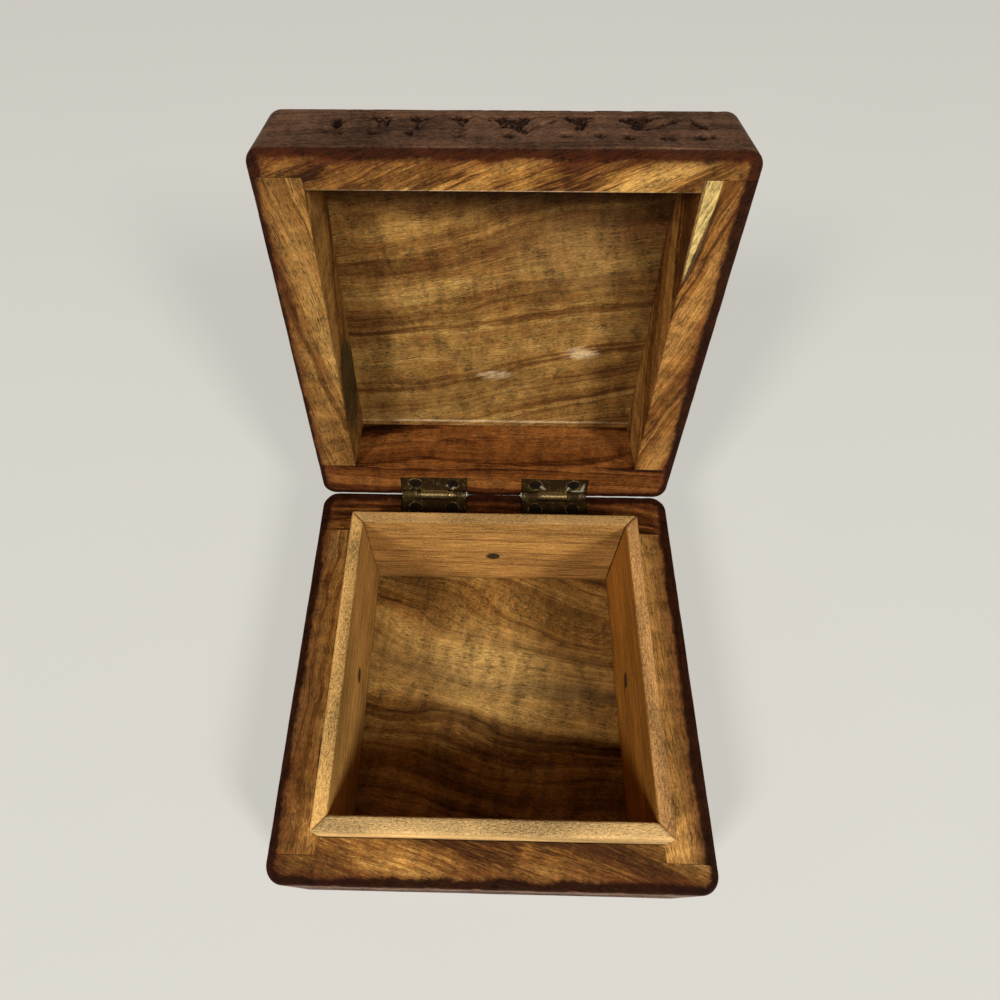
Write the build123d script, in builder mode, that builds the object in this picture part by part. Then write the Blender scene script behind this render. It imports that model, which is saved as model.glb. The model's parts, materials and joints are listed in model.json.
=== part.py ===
# Small hinged wooden keepsake box, standing open.
# Every length is in millimetres. The origin is the middle of the underside,
# +X to the right, +Y towards the hinged back, +Z up.

import os
from math import copysign, cos, radians, sin, sqrt

from build123d import *

os.makedirs("parts", exist_ok=True)

# Outer form
box_width = 101.6
box_depth = 101.6
base_height = 31.0
lid_height = 21.4
rim_gap = 0.5
corner_radius = 4.5
rim_bevel = 0.8
foot_bevel = 0.8
crown_bevel = 1.5
corner_lip = 6.2

# Base boards and floor
base_side = 11.4
base_front = 9.8
base_back = 12.5
floor_thickness = 6.0

# Lid boards and top panel
lid_side = 10.7
lid_front = 8.7
lid_back = 12.0
panel_thickness = 3.6
panel_clearance = 0.15

# Carved top: a sunk field round a flower, with a spray in each corner
carving_depth = 0.8
field_half_width = 40.0
field_half_depth = 38.8
flower_petals = 8
flower_heart = 3.4
flower_heart_sides = 12
petal_start = 4.2
petal_length = 14.0
petal_width = 6.0
sepal_start = 12.0
sepal_length = 9.0
sepal_width = 4.2
spray_inset = 4.6
spray_length = 15.0
spray_width = 5.8
spray_turn = 44
bud_inset = 4.0
bud_length = 9.5
bud_width = 4.6

# Carved front of the lid: a row of lobes with sunk pockets between their tops
lobe_foot = 8.6
lobe_rise = 7.6
pocket_top = 16.4
pocket_spacing = 0.7
lobes = [(-29.8, 8.2), (-21.4, 7.0), (-12.8, 8.6), (-4.2, 7.8), (9.6, 11.4), (21.4, 9.6), (34.2, 11.0)]

# Lining of the base
lining_thickness = 3.4
lining_rise = 11.6
lining_clearance = 0.1
lining_bevel = 0.5

# Nails that hold the lining
nail_height = 22.0
nail_length = 8.6
nail_radius = 0.45
nail_head_radius = 1.5
nail_head_depth = 0.4
fastener_clearance = 0.03

# Butt hinges
open_angle = 100.5
hinge_inset = 0.4
hinge_width = 19.0
hinge_spread = 35.6
leaf_depth = 6.8
leaf_thickness = 0.75
leaf_corner = 0.5
knuckle_radius = 1.2
middle_knuckle = 8.0
knuckle_gap = 0.15
knuckle_relief = 0.3
pin_radius = 0.42
pin_clearance = 0.04
mortise_clearance = 0.25

# Hinge screws
screw_spacing = 11.0
screw_setback = 4.3
screw_length = 7.0
screw_radius = 0.7
screw_head_radius = 1.3
screw_head_angle = 90

# Frames of the closed base and of the lid as it stands open
hinge_y = box_depth / 2 - hinge_inset
hinge_z = base_height + rim_gap / 2
tilt = radians(open_angle)
base_hinge = Plane(origin=(0, hinge_y, hinge_z), x_dir=(0, 1, 0), z_dir=(1, 0, 0))
lid_hinge = Plane(
    origin=base_hinge.origin, x_dir=(0, cos(tilt), -sin(tilt)), z_dir=(1, 0, 0)
)
lid_rim = Plane(
    origin=lid_hinge.from_local_coords((-hinge_y, rim_gap / 2, 0)),
    x_dir=(1, 0, 0),
    z_dir=lid_hinge.y_dir,
)
lid_up = Axis(lid_rim.origin, lid_rim.z_dir)
hinge_centres = {"left": -hinge_spread / 2, "right": hinge_spread / 2}

# Room left between the lining and the boards, and where its outer faces stand
lining_left_x = -box_width / 2 + base_side + lining_clearance
lining_front_y = -box_depth / 2 + base_front + lining_clearance
lining_back_y = box_depth / 2 - base_back - lining_clearance
lining_width = -2 * lining_left_x
lining_depth = lining_back_y - lining_front_y
lining_mid_y = (lining_back_y + lining_front_y) / 2
lining_height = base_height + lining_rise - floor_thickness
inner_x = lining_left_x + lining_thickness
inner_front_y = lining_front_y + lining_thickness
inner_back_y = lining_back_y - lining_thickness

# Each nail's plane lies on a strip's inner face and looks into the box
nail_planes = {
    "front": Plane(origin=(0, inner_front_y, nail_height), z_dir=(0, 1, 0)),
    "back": Plane(origin=(0, inner_back_y, nail_height), z_dir=(0, -1, 0)),
    "left": Plane(origin=(inner_x, lining_mid_y, nail_height), z_dir=(1, 0, 0)),
    "right": Plane(origin=(-inner_x, lining_mid_y, nail_height), z_dir=(-1, 0, 0)),
}

# The glued-up blocks of the base and the lid, with rounded corners and eased edges

with BuildPart() as base_form:
    with BuildSketch():
        RectangleRounded(box_width, box_depth, corner_radius)
    extrude(amount=base_height)
    chamfer(base_form.faces().sort_by(Axis.Z)[0].edges(), foot_bevel)
    chamfer(base_form.faces().sort_by(Axis.Z)[-1].edges(), rim_bevel)

with BuildPart() as lid_form:
    with BuildSketch(lid_rim):
        RectangleRounded(box_width, box_depth, corner_radius)
    extrude(amount=lid_height)
    chamfer(lid_form.faces().sort_by(lid_up)[0].edges(), rim_bevel)
    chamfer(lid_form.faces().sort_by(lid_up)[-1].edges(), crown_bevel)


# Plans of the joinery shared by the base and the lid


def front_board_plan(front, side):
    """A front board whose ends are rabbeted to take the side boards."""
    with Locations((0, -box_depth / 2)):
        Rectangle(box_width, corner_lip, align=(Align.CENTER, Align.MIN))
        Rectangle(box_width - 2 * side, front, align=(Align.CENTER, Align.MIN))


def back_board_plan(back):
    """A back board that runs the full width behind the side boards."""
    with Locations((0, box_depth / 2)):
        Rectangle(box_width, back, align=(Align.CENTER, Align.MAX))


def side_board_plan(hand, side, back):
    """A side board from the front board's lip to the back board."""
    board_length = box_depth - corner_lip - back
    with Locations((hand * (box_width - side) / 2, (corner_lip - back) / 2)):
        Rectangle(side, board_length)


def panel_plan(front, side, back, clearance):
    """The panel that lies in the rabbet run round the four boards."""
    lap = front - corner_lip
    width = box_width - 2 * side + 2 * lap
    depth = box_depth - front - back + 2 * lap
    with Locations((0, (front - back) / 2)):
        Rectangle(width - 2 * clearance, depth - 2 * clearance)


# Hinge mortise and fastener holes


def hinge_mortises(frame, upward):
    """What is cut from a back board's rim for both leaves and half of each barrel."""
    width = hinge_width + 2 * mortise_clearance
    reach = leaf_depth + mortise_clearance
    seat = Align.MAX if upward > 0 else Align.MIN
    with BuildPart() as mortises:
        for centre in hinge_centres.values():
            with BuildSketch(frame.offset(centre - width / 2)):
                with Locations((-reach, upward * knuckle_radius)):
                    Rectangle(reach + 2 * knuckle_radius, 2 * knuckle_radius, align=(Align.MIN, seat))
                Circle(knuckle_radius + knuckle_relief)
            extrude(amount=width)
    return mortises.part


def screw_planes(frame, upward, centre):
    """Planes on a leaf's open face, one for each of its two screws."""
    face = upward * (knuckle_radius - leaf_thickness)
    places = []
    for offset in (-screw_spacing / 2, screw_spacing / 2):
        origin = frame.from_local_coords((-screw_setback, face, centre + offset))
        places.append(Plane(origin=origin, x_dir=(1, 0, 0), z_dir=frame.y_dir * -upward))
    return places


def back_board_screw_planes(frame, upward):
    """All four screw planes of a back board."""
    places = []
    for centre in hinge_centres.values():
        places += screw_planes(frame, upward, centre)
    return places


# Carving


def leaf(length, width, start, turn):
    """A pointed leaf, standing off a centre by its start and turned about it."""
    shoulder = 0.46 * width
    waist = 0.36 * width
    points = [
        (0, 0),
        (0.25 * length, -shoulder),
        (0.65 * length, -waist),
        (length, 0),
        (0.65 * length, waist),
        (0.25 * length, shoulder),
    ]
    place = Location((start * cos(radians(turn)), start * sin(radians(turn)), 0), (0, 0, turn))
    with Locations(place):
        Polygon(*points, align=None, mode=Mode.SUBTRACT)


def kite(length, width, start, turn):
    """A plainer leaf with four sides."""
    half = width / 2
    points = [(0, 0), (0.4 * length, -half), (length, 0), (0.4 * length, half)]
    place = Location((start * cos(radians(turn)), start * sin(radians(turn)), 0), (0, 0, turn))
    with Locations(place):
        Polygon(*points, align=None, mode=Mode.SUBTRACT)


def lobe_height(place, centre, width):
    """How high a lobe's outline stands at a place along the board."""
    share = (place - centre) / (width / 2)
    return lobe_foot + lobe_rise * sqrt(max(1 - share * share, 0))


def pocket(left, right):
    """The sunk pocket between the tops of two neighbouring lobes."""
    left_edge = left[0] + left[1] / 2
    right_edge = right[0] - right[1] / 2
    left_shoulder = left[0] + 0.36 * left[1]
    right_shoulder = right[0] - 0.36 * right[1]
    Polygon(
        (left[0] + pocket_spacing, pocket_top),
        (left_shoulder, lobe_height(left_shoulder, *left)),
        ((left_edge + right_edge) / 2, lobe_foot),
        (right_shoulder, lobe_height(right_shoulder, *right)),
        (right[0] - pocket_spacing, pocket_top),
        align=None,
    )


# Base: four boards, rabbeted at the front and butted at the back

base_mortises = hinge_mortises(base_hinge, -1)

with BuildPart() as base_front_board:
    with BuildSketch():
        front_board_plan(base_front, base_side)
    extrude(amount=base_height)
    add(base_form.part, mode=Mode.INTERSECT)
    with BuildSketch():
        panel_plan(base_front, base_side, base_back, 0)
    extrude(amount=floor_thickness, mode=Mode.SUBTRACT)
    with Locations(nail_planes["front"]):
        Hole(nail_radius + fastener_clearance, nail_length + fastener_clearance)

with BuildPart() as base_back_board:
    with BuildSketch():
        back_board_plan(base_back)
    extrude(amount=base_height)
    add(base_form.part, mode=Mode.INTERSECT)
    with BuildSketch():
        panel_plan(base_front, base_side, base_back, 0)
    extrude(amount=floor_thickness, mode=Mode.SUBTRACT)
    add(base_mortises, mode=Mode.SUBTRACT)
    with Locations(*back_board_screw_planes(base_hinge, -1)):
        Hole(screw_radius + fastener_clearance, screw_length + fastener_clearance)
    with Locations(nail_planes["back"]):
        Hole(nail_radius + fastener_clearance, nail_length + fastener_clearance)

with BuildPart() as base_left_board:
    with BuildSketch():
        side_board_plan(-1, base_side, base_back)
    extrude(amount=base_height)
    add(base_form.part, mode=Mode.INTERSECT)
    with BuildSketch():
        panel_plan(base_front, base_side, base_back, 0)
    extrude(amount=floor_thickness, mode=Mode.SUBTRACT)
    with Locations(nail_planes["left"]):
        Hole(nail_radius + fastener_clearance, nail_length + fastener_clearance)

with BuildPart() as base_right_board:
    with BuildSketch():
        side_board_plan(1, base_side, base_back)
    extrude(amount=base_height)
    add(base_form.part, mode=Mode.INTERSECT)
    with BuildSketch():
        panel_plan(base_front, base_side, base_back, 0)
    extrude(amount=floor_thickness, mode=Mode.SUBTRACT)
    with Locations(nail_planes["right"]):
        Hole(nail_radius + fastener_clearance, nail_length + fastener_clearance)

with BuildPart() as base_floor:
    with BuildSketch():
        panel_plan(base_front, base_side, base_back, panel_clearance)
    extrude(amount=floor_thickness)


# Lining: four mitred strips that stand on the floor and rise past the rim


def lining_strip(place, run, turn, nail_plane):
    """A strip with mitred ends, bevelled top edges and a nail hole."""
    with BuildPart() as strip:
        with BuildSketch(Plane.XY.offset(floor_thickness)):
            with Locations(place):
                Trapezoid(run, lining_thickness, 45, rotation=turn, align=(Align.CENTER, Align.MIN))
        extrude(amount=lining_height)
        top_edges = strip.faces().sort_by(Axis.Z)[-1].edges().sort_by(SortBy.LENGTH)
        chamfer(top_edges[-2:], lining_bevel)
        with Locations(nail_plane):
            CounterBoreHole(
                radius=nail_radius + fastener_clearance,
                counter_bore_radius=nail_head_radius + fastener_clearance,
                counter_bore_depth=nail_head_depth,
                depth=2 * lining_thickness,
            )
    return strip


lining_front = lining_strip((0, lining_front_y), lining_width, 0, nail_planes["front"])
lining_back = lining_strip((0, lining_back_y), lining_width, 180, nail_planes["back"])
lining_left = lining_strip((lining_left_x, lining_mid_y), lining_depth, -90, nail_planes["left"])
lining_right = lining_strip((-lining_left_x, lining_mid_y), lining_depth, 90, nail_planes["right"])

with BuildPart() as nail:
    with BuildSketch(Plane.XZ):
        with BuildLine():
            Polyline(
                (0, 0),
                (nail_head_radius, 0),
                (nail_head_radius, -nail_head_depth),
                (nail_radius, -nail_head_depth),
                (nail_radius, -nail_length),
                (0, -nail_length),
                close=True,
            )
        make_face()
    revolve(axis=Axis.Z)

with BuildPart() as lining_nails:
    with Locations(*nail_planes.values()):
        add(nail.part)

# Lid: the same joinery round a thinner panel, in its open position

lid_mortises = hinge_mortises(lid_hinge, 1)
panel_seat = lid_rim.offset(lid_height - panel_thickness)
lid_face = Plane(
    origin=lid_rim.from_local_coords((0, -box_depth / 2, 0)),
    x_dir=(1, 0, 0),
    z_dir=-lid_rim.y_dir,
)

with BuildPart() as lid_front_board:
    with BuildSketch(lid_rim):
        front_board_plan(lid_front, lid_side)
    extrude(amount=lid_height)
    add(lid_form.part, mode=Mode.INTERSECT)
    with BuildSketch(panel_seat):
        panel_plan(lid_front, lid_side, lid_back, 0)
    extrude(amount=panel_thickness, mode=Mode.SUBTRACT)
    with BuildSketch(lid_face):
        for left, right in zip(lobes, lobes[1:]):
            pocket(left, right)
    extrude(amount=-carving_depth, mode=Mode.SUBTRACT)

with BuildPart() as lid_back_board:
    with BuildSketch(lid_rim):
        back_board_plan(lid_back)
    extrude(amount=lid_height)
    add(lid_form.part, mode=Mode.INTERSECT)
    with BuildSketch(panel_seat):
        panel_plan(lid_front, lid_side, lid_back, 0)
    extrude(amount=panel_thickness, mode=Mode.SUBTRACT)
    add(lid_mortises, mode=Mode.SUBTRACT)
    with Locations(*back_board_screw_planes(lid_hinge, 1)):
        Hole(screw_radius + fastener_clearance, screw_length + fastener_clearance)

with BuildPart() as lid_left_board:
    with BuildSketch(lid_rim):
        side_board_plan(-1, lid_side, lid_back)
    extrude(amount=lid_height)
    add(lid_form.part, mode=Mode.INTERSECT)
    with BuildSketch(panel_seat):
        panel_plan(lid_front, lid_side, lid_back, 0)
    extrude(amount=panel_thickness, mode=Mode.SUBTRACT)

with BuildPart() as lid_right_board:
    with BuildSketch(lid_rim):
        side_board_plan(1, lid_side, lid_back)
    extrude(amount=lid_height)
    add(lid_form.part, mode=Mode.INTERSECT)
    with BuildSketch(panel_seat):
        panel_plan(lid_front, lid_side, lid_back, 0)
    extrude(amount=panel_thickness, mode=Mode.SUBTRACT)

with BuildPart() as lid_top_panel:
    with BuildSketch(panel_seat):
        panel_plan(lid_front, lid_side, lid_back, panel_clearance)
    extrude(amount=panel_thickness)
    with BuildSketch(lid_rim.offset(lid_height)):
        Rectangle(2 * field_half_width, 2 * field_half_depth)
        RegularPolygon(flower_heart, flower_heart_sides, mode=Mode.SUBTRACT)
        for petal in range(flower_petals):
            turn = petal * 360 / flower_petals
            leaf(petal_length, petal_width, petal_start, turn)
            kite(sepal_length, sepal_width, sepal_start, turn + 180 / flower_petals)
        for corner in (45, 135, 225, 315):
            spray_x = copysign(field_half_width - spray_inset, cos(radians(corner)))
            spray_y = copysign(field_half_depth - spray_inset, sin(radians(corner)))
            with Locations((spray_x, spray_y)):
                for fan in (-spray_turn, 0, spray_turn):
                    leaf(spray_length, spray_width, 0, corner + 180 + fan)
        for side, reach in ((0, field_half_width), (90, field_half_depth)):
            kite(bud_length, bud_width, bud_inset - reach, side)
            kite(bud_length, bud_width, bud_inset - reach, side + 180)
    extrude(amount=-carving_depth, mode=Mode.SUBTRACT)


# Butt hinges: two leaves rolled round a pin, with three knuckles


def hinge_leaf(frame, upward, centre, gaps):
    """A plate rolled into a barrel, with gaps for the other leaf's knuckles."""
    near_face = Align.MAX if upward > 0 else Align.MIN
    notch = knuckle_radius + knuckle_relief
    with BuildPart() as leaf:
        with BuildSketch(frame.offset(centre - hinge_width / 2)):
            with Locations((0, upward * knuckle_radius)):
                Rectangle(leaf_depth, leaf_thickness, align=(Align.MAX, near_face))
            Circle(knuckle_radius)
            Circle(pin_radius + pin_clearance, mode=Mode.SUBTRACT)
        extrude(amount=hinge_width)
        for start, width in gaps:
            with BuildSketch(frame.offset(centre + start)):
                with Locations((-notch, 0)):
                    Rectangle(2 * notch, 2 * notch, align=(Align.MIN, Align.CENTER))
            extrude(amount=width, mode=Mode.SUBTRACT)
        plate_end = leaf.faces().sort_by(Axis(frame.origin, frame.x_dir))[0]
        corners = plate_end.edges().filter_by(Axis(frame.origin, frame.y_dir))
        chamfer(corners, leaf_corner)
        with Locations(*screw_planes(frame, upward, centre)):
            CounterSinkHole(
                radius=screw_radius + fastener_clearance,
                counter_sink_radius=screw_head_radius + fastener_clearance,
                depth=2 * leaf_thickness,
                counter_sink_angle=screw_head_angle,
            )
    return leaf


def hinge_pin(centre):
    """The pin that runs through the three knuckles."""
    with BuildPart() as pin:
        with BuildSketch(base_hinge.offset(centre - hinge_width / 2)):
            Circle(pin_radius)
        extrude(amount=hinge_width)
    return pin


middle_gap = middle_knuckle + knuckle_gap
end_gap = (hinge_width - middle_knuckle + knuckle_gap) / 2
base_leaf_gaps = [(-middle_gap / 2, middle_gap)]
lid_leaf_gaps = [(-hinge_width / 2, end_gap), (hinge_width / 2 - end_gap, end_gap)]

left_hinge_base_leaf = hinge_leaf(base_hinge, -1, hinge_centres["left"], base_leaf_gaps)
left_hinge_lid_leaf = hinge_leaf(lid_hinge, 1, hinge_centres["left"], lid_leaf_gaps)
left_hinge_pin = hinge_pin(hinge_centres["left"])
right_hinge_base_leaf = hinge_leaf(base_hinge, -1, hinge_centres["right"], base_leaf_gaps)
right_hinge_lid_leaf = hinge_leaf(lid_hinge, 1, hinge_centres["right"], lid_leaf_gaps)
right_hinge_pin = hinge_pin(hinge_centres["right"])

screw_head_depth = screw_head_radius - screw_radius

with BuildPart() as screw:
    with BuildSketch(Plane.XZ):
        with BuildLine():
            Polyline(
                (0, 0),
                (screw_head_radius, 0),
                (screw_radius, -screw_head_depth),
                (screw_radius, -screw_length),
                (0, -screw_length),
                close=True,
            )
        make_face()
    revolve(axis=Axis.Z)

with BuildPart() as base_hinge_screws:
    with Locations(*back_board_screw_planes(base_hinge, -1)):
        add(screw.part)

with BuildPart() as lid_hinge_screws:
    with Locations(*back_board_screw_planes(lid_hinge, 1)):
        add(screw.part)

# One file for each piece

pieces = {
    "base_front_board": base_front_board,
    "base_back_board": base_back_board,
    "base_left_board": base_left_board,
    "base_right_board": base_right_board,
    "base_floor": base_floor,
    "lining_front": lining_front,
    "lining_back": lining_back,
    "lining_left": lining_left,
    "lining_right": lining_right,
    "lining_nails": lining_nails,
    "lid_front_board": lid_front_board,
    "lid_back_board": lid_back_board,
    "lid_left_board": lid_left_board,
    "lid_right_board": lid_right_board,
    "lid_top_panel": lid_top_panel,
    "left_hinge_base_leaf": left_hinge_base_leaf,
    "left_hinge_lid_leaf": left_hinge_lid_leaf,
    "left_hinge_pin": left_hinge_pin,
    "right_hinge_base_leaf": right_hinge_base_leaf,
    "right_hinge_lid_leaf": right_hinge_lid_leaf,
    "right_hinge_pin": right_hinge_pin,
    "base_hinge_screws": base_hinge_screws,
    "lid_hinge_screws": lid_hinge_screws,
}

for name, piece in pieces.items():
    piece.part.label = name
    export_step(piece.part, f"parts/{name}.step")
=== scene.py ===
"""A small carved keepsake box, standing open, dressed over its packed frame."""

import json
import math

import bmesh
import bpy
import numpy as np
from mathutils import Matrix, Vector


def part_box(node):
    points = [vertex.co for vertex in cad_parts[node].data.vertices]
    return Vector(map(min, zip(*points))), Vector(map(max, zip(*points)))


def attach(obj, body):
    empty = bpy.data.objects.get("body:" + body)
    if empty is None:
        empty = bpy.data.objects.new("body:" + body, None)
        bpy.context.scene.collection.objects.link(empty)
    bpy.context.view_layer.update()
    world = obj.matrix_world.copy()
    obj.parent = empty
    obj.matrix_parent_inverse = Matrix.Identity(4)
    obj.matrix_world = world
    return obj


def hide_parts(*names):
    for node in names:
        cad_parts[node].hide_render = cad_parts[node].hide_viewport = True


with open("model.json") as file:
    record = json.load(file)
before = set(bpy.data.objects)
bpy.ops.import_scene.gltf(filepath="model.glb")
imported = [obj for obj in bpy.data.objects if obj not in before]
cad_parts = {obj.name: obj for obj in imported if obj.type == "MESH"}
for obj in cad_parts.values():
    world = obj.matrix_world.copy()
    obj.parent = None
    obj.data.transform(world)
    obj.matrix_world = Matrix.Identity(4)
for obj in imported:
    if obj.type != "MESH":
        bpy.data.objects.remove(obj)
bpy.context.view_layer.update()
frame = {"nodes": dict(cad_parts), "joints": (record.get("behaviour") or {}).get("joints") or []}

bl_info = {
    "name": "Carved Keepsake Box",
    "version": (1, 0, 0),
    "blender": (4, 5, 0),
    "location": "View3D > Sidebar > Keepsake Box",
    "description": "Carves, lines and fits out a small hinged keepsake box",
    "category": "Object",
}

MM = 0.001

# ---------------------------------------------------------------- places

lid_joint = frame["joints"][0]
HINGE = Vector(lid_joint["pos_m"])
OPEN = math.radians(max(lid_joint["range_deg"]))
BASE_TOP = max(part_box("base_left_board")[1].z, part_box("base_right_board")[1].z)
RIM_GAP = 2 * (HINGE.z - BASE_TOP)

# From the closed lid, measured up from its rim, to the lid as it stands open
BASE_PLACE = Matrix.Identity(4)
LID_PLACE = (
    Matrix.Translation(HINGE)
    @ Matrix.Rotation(-OPEN, 4, "X")
    @ Matrix.Translation((0, -HINGE.y, RIM_GAP / 2))
)


def node_box(node, place=BASE_PLACE):
    """A CAD node's lowest and highest corners in millimetres, in the frame of a place."""
    back = place.inverted()
    points = [(back @ vertex.co) / MM for vertex in frame["nodes"][node].data.vertices]
    points = np.array([point[:] for point in points])
    return points.min(0), points.max(0)


HALF_X = node_box("base_front_board")[1][0]
HALF_Y = node_box("base_back_board")[1][1]
BASE_HEIGHT = BASE_TOP / MM
LID_HEIGHT = node_box("lid_front_board", LID_PLACE)[1][2]
LIP = node_box("lid_front_board", LID_PLACE)[1][1]

# Hinge leaves, screws and nails, in mm
LEAF = {
    "thick": 0.75, "depth": 6.8, "corner": 0.5, "barrel": 1.2, "bore": 0.46, "middle": 4.0, "gap": 0.075, "notch": 0.3,
}
SCREW = {"head": 1.6, "shank": 0.7, "length": 7.0, "slot": 0.34, "spacing": 11.0, "setback": 4.3, "sunk": 0.16}
NAIL = {"height": 22.0, "head": 1.5, "thick": 0.3, "sink": 0.1, "shank": 0.45, "length": 8.6, "sunk": 0.08}
FIT = 0.04
MORTISE_SPARE = 0.25
PANEL_SPARE = 0.15

# Each hinge's middle and half its width, and its axis in each body's frame
HINGES = {}
for hand in ("left", "right"):
    leaf_low, leaf_high = node_box(f"{hand}_hinge_base_leaf")
    HINGES[hand] = ((leaf_low[0] + leaf_high[0]) / 2, (leaf_high[0] - leaf_low[0]) / 2)
HINGE_Y = HINGE.y / MM
HINGE_Z = {"base": HINGE.z / MM, "lid": -RIM_GAP / 2 / MM}
# Which way each body's rim faces when the box is shut
UP = {"base": 1, "lid": -1}
# Where dry glue was left on the leaves: place, half sizes and turn of each string
GLUE = {
    ("left", "lid"): [((-13.2, 46.2, 0.0), (1.5, 0.35, 3.0), -0.7), ((-12.0, 47.6, 0.0), (0.4, 1.2, 3.0), 0.3)],
    ("right", "lid"): [
        ((14.0, 46.9, 0.0), (1.7, 0.45, 3.0), 0.8), ((22.2, 47.0, 0.0), (0.4, 1.8, 3.0), 0.5),
        ((24.6, 48.6, 0.0), (1.9, 0.4, 3.0), -0.1), ((26.0, 48.0, 0.0), (0.5, 2.4, 3.0), 0.2),
    ],
    ("right", "base"): [((24.0, 46.0, 40.0), (0.5, 1.6, 3.0), 0.5), ((26.0, 48.0, 40.0), (0.5, 2.6, 3.0), -0.1)],
}

# ---------------------------------------------------------------- settings


def length_setting(name, description, default):
    """A setting that holds a length in metres."""
    return bpy.props.FloatProperty(name=name, description=description, default=default, unit="LENGTH")


def colour_setting(name, description, default):
    """A setting that holds a colour."""
    return bpy.props.FloatVectorProperty(name=name, description=description, default=default, subtype="COLOR", size=3)


class KeepsakeShape(bpy.types.PropertyGroup):
    """Roundings and carving of the box."""

    base_corner_round: length_setting("Base Corner Rounding", "Radius of the base's upright corners", 0.0045)
    lid_corner_round: length_setting("Lid Corner Rounding", "Radius of the lid's upright corners", 0.0038)
    rim_round: length_setting("Rim Rounding", "Radius of the eased outer rims", 0.00055)
    crown_round: length_setting("Crown Rounding", "Radius of the lid's upper edge", 0.0022)
    foot_round: length_setting("Foot Rounding", "Radius of the base's lower edge", 0.0008)
    carving_depth: length_setting("Carving Depth", "How deep the ground is cut", 0.00085)
    grid_step: length_setting("Mesh Step", "Spacing of the carved mesh", 0.00034)
    joint_gap: length_setting("Joint Gap", "Half the hairline seen at a joint", 0.00003)


class KeepsakeTimber(bpy.types.PropertyGroup):
    """Colours of the figured hardwood and its stain."""

    pale: colour_setting("Pale Wood", "Lightest bands of the grain", (0.515, 0.283, 0.078))
    golden: colour_setting("Golden Wood", "Ordinary colour of the planed wood", (0.352, 0.166, 0.038))
    brown: colour_setting("Brown Wood", "Middle bands of the grain", (0.195, 0.082, 0.018))
    dark: colour_setting("Dark Wood", "Dark streaks of the grain", (0.066, 0.022, 0.005))
    darkest: colour_setting("Darkest Wood", "Heart of the darkest streaks and the pores", (0.022, 0.007, 0.0025))
    seep: colour_setting("Seep", "Red-brown of the stain where it has soaked into the rims", (0.044, 0.0088, 0.0018))
    stain: colour_setting("Stain", "Dark stain on the edges", (0.019, 0.006, 0.003))
    russet: colour_setting("Stain Edge", "Red-brown where the stain runs out", (0.115, 0.030, 0.008))
    # Partly real wear, partly a painted sheen: this brown is greyed to stand in for the light the outer faces reflect
    worn: colour_setting("Worn Stain", "Dull brown of the handled outer faces", (0.083, 0.040, 0.021))


class KeepsakeLining(bpy.types.PropertyGroup):
    """Colours of the plain softwood lining."""

    wood: colour_setting("Lining Wood", "Pale tan of the lining strips", (0.52, 0.262, 0.068))
    sawn: colour_setting("Sawn Edge", "Paler wood of the lining's upper edges", (0.66, 0.40, 0.145))
    line: colour_setting("Lining Grain", "Darker lines of the lining's grain", (0.27, 0.115, 0.030))


class KeepsakeMetal(bpy.types.PropertyGroup):
    """Colours of the hinges, screws and nails."""

    brass: colour_setting("Brass", "Rubbed brass of the barrels", (0.48, 0.33, 0.13))
    tarnish: colour_setting("Tarnish", "Dull brown film on the leaves", (0.034, 0.0165, 0.0048))
    glue: colour_setting("Glue", "Dry pale glue left on the leaves", (0.38, 0.31, 0.20))
    verdigris: colour_setting("Verdigris", "Dull green in the metal's hollows", (0.085, 0.066, 0.012))
    iron: colour_setting("Nail Steel", "Dark steel of the nail heads", (0.10, 0.085, 0.07))


class KeepsakeStudio(bpy.types.PropertyGroup):
    """Floor and light."""

    floor: colour_setting("Floor", "Colour of the plain floor", (0.80, 0.775, 0.71))
    lift: bpy.props.FloatProperty(
        name="Floor Glow", description="How bright the floor stays in shadow, to the camera", default=0.90, min=0
    )
    sky: bpy.props.FloatProperty(
        name="Sky", description="Strength of the light from all round", default=0.08, min=0
    )
    lamp: bpy.props.FloatProperty(
        name="Lamps", description="Power of each soft lamp in watts", default=12.6, min=0
    )
    lens: bpy.props.FloatProperty(
        name="Lens", description="Focal length of the camera", default=24.84, min=1, unit="CAMERA"
    )


SETTINGS = {
    "keepsake_shape": KeepsakeShape,
    "keepsake_timber": KeepsakeTimber,
    "keepsake_lining": KeepsakeLining,
    "keepsake_metal": KeepsakeMetal,
    "keepsake_studio": KeepsakeStudio,
}

# ---------------------------------------------------------------- node trees


class Wire:
    """A socket in a node tree; sums written on it add the nodes that work them out."""

    def __init__(self, nodes, socket):
        self.nodes, self.socket = nodes, socket

    def _sum(self, operation, *values):
        return self.nodes.add("ShaderNodeMath", {"operation": operation}, dict(enumerate(values)))

    def __add__(self, other):
        return self._sum("ADD", self, other)

    def __radd__(self, other):
        return self._sum("ADD", other, self)

    def __sub__(self, other):
        return self._sum("SUBTRACT", self, other)

    def __rsub__(self, other):
        return self._sum("SUBTRACT", other, self)

    def __mul__(self, other):
        return self._sum("MULTIPLY", self, other)

    def __truediv__(self, other):
        return self._sum("DIVIDE", self, other)

    def __pow__(self, other):
        return self._sum("POWER", self, other)

    def abs(self):
        return self._sum("ABSOLUTE", self)

    def root(self):
        return self._sum("SQRT", self)

    def least(self, other):
        return self._sum("MINIMUM", self, other)

    def most(self, other):
        return self._sum("MAXIMUM", self, other)

    def step(self, low, high):
        """0 below low, 1 above high, and a smooth step between; low may be the higher."""
        settings = {"interpolation_type": "SMOOTHSTEP", "clamp": True}
        ends = (low, high, 0.0, 1.0) if low < high else (high, low, 1.0, 0.0)
        return self.nodes.add("ShaderNodeMapRange", settings, dict(enumerate((self, *ends))))


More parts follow.
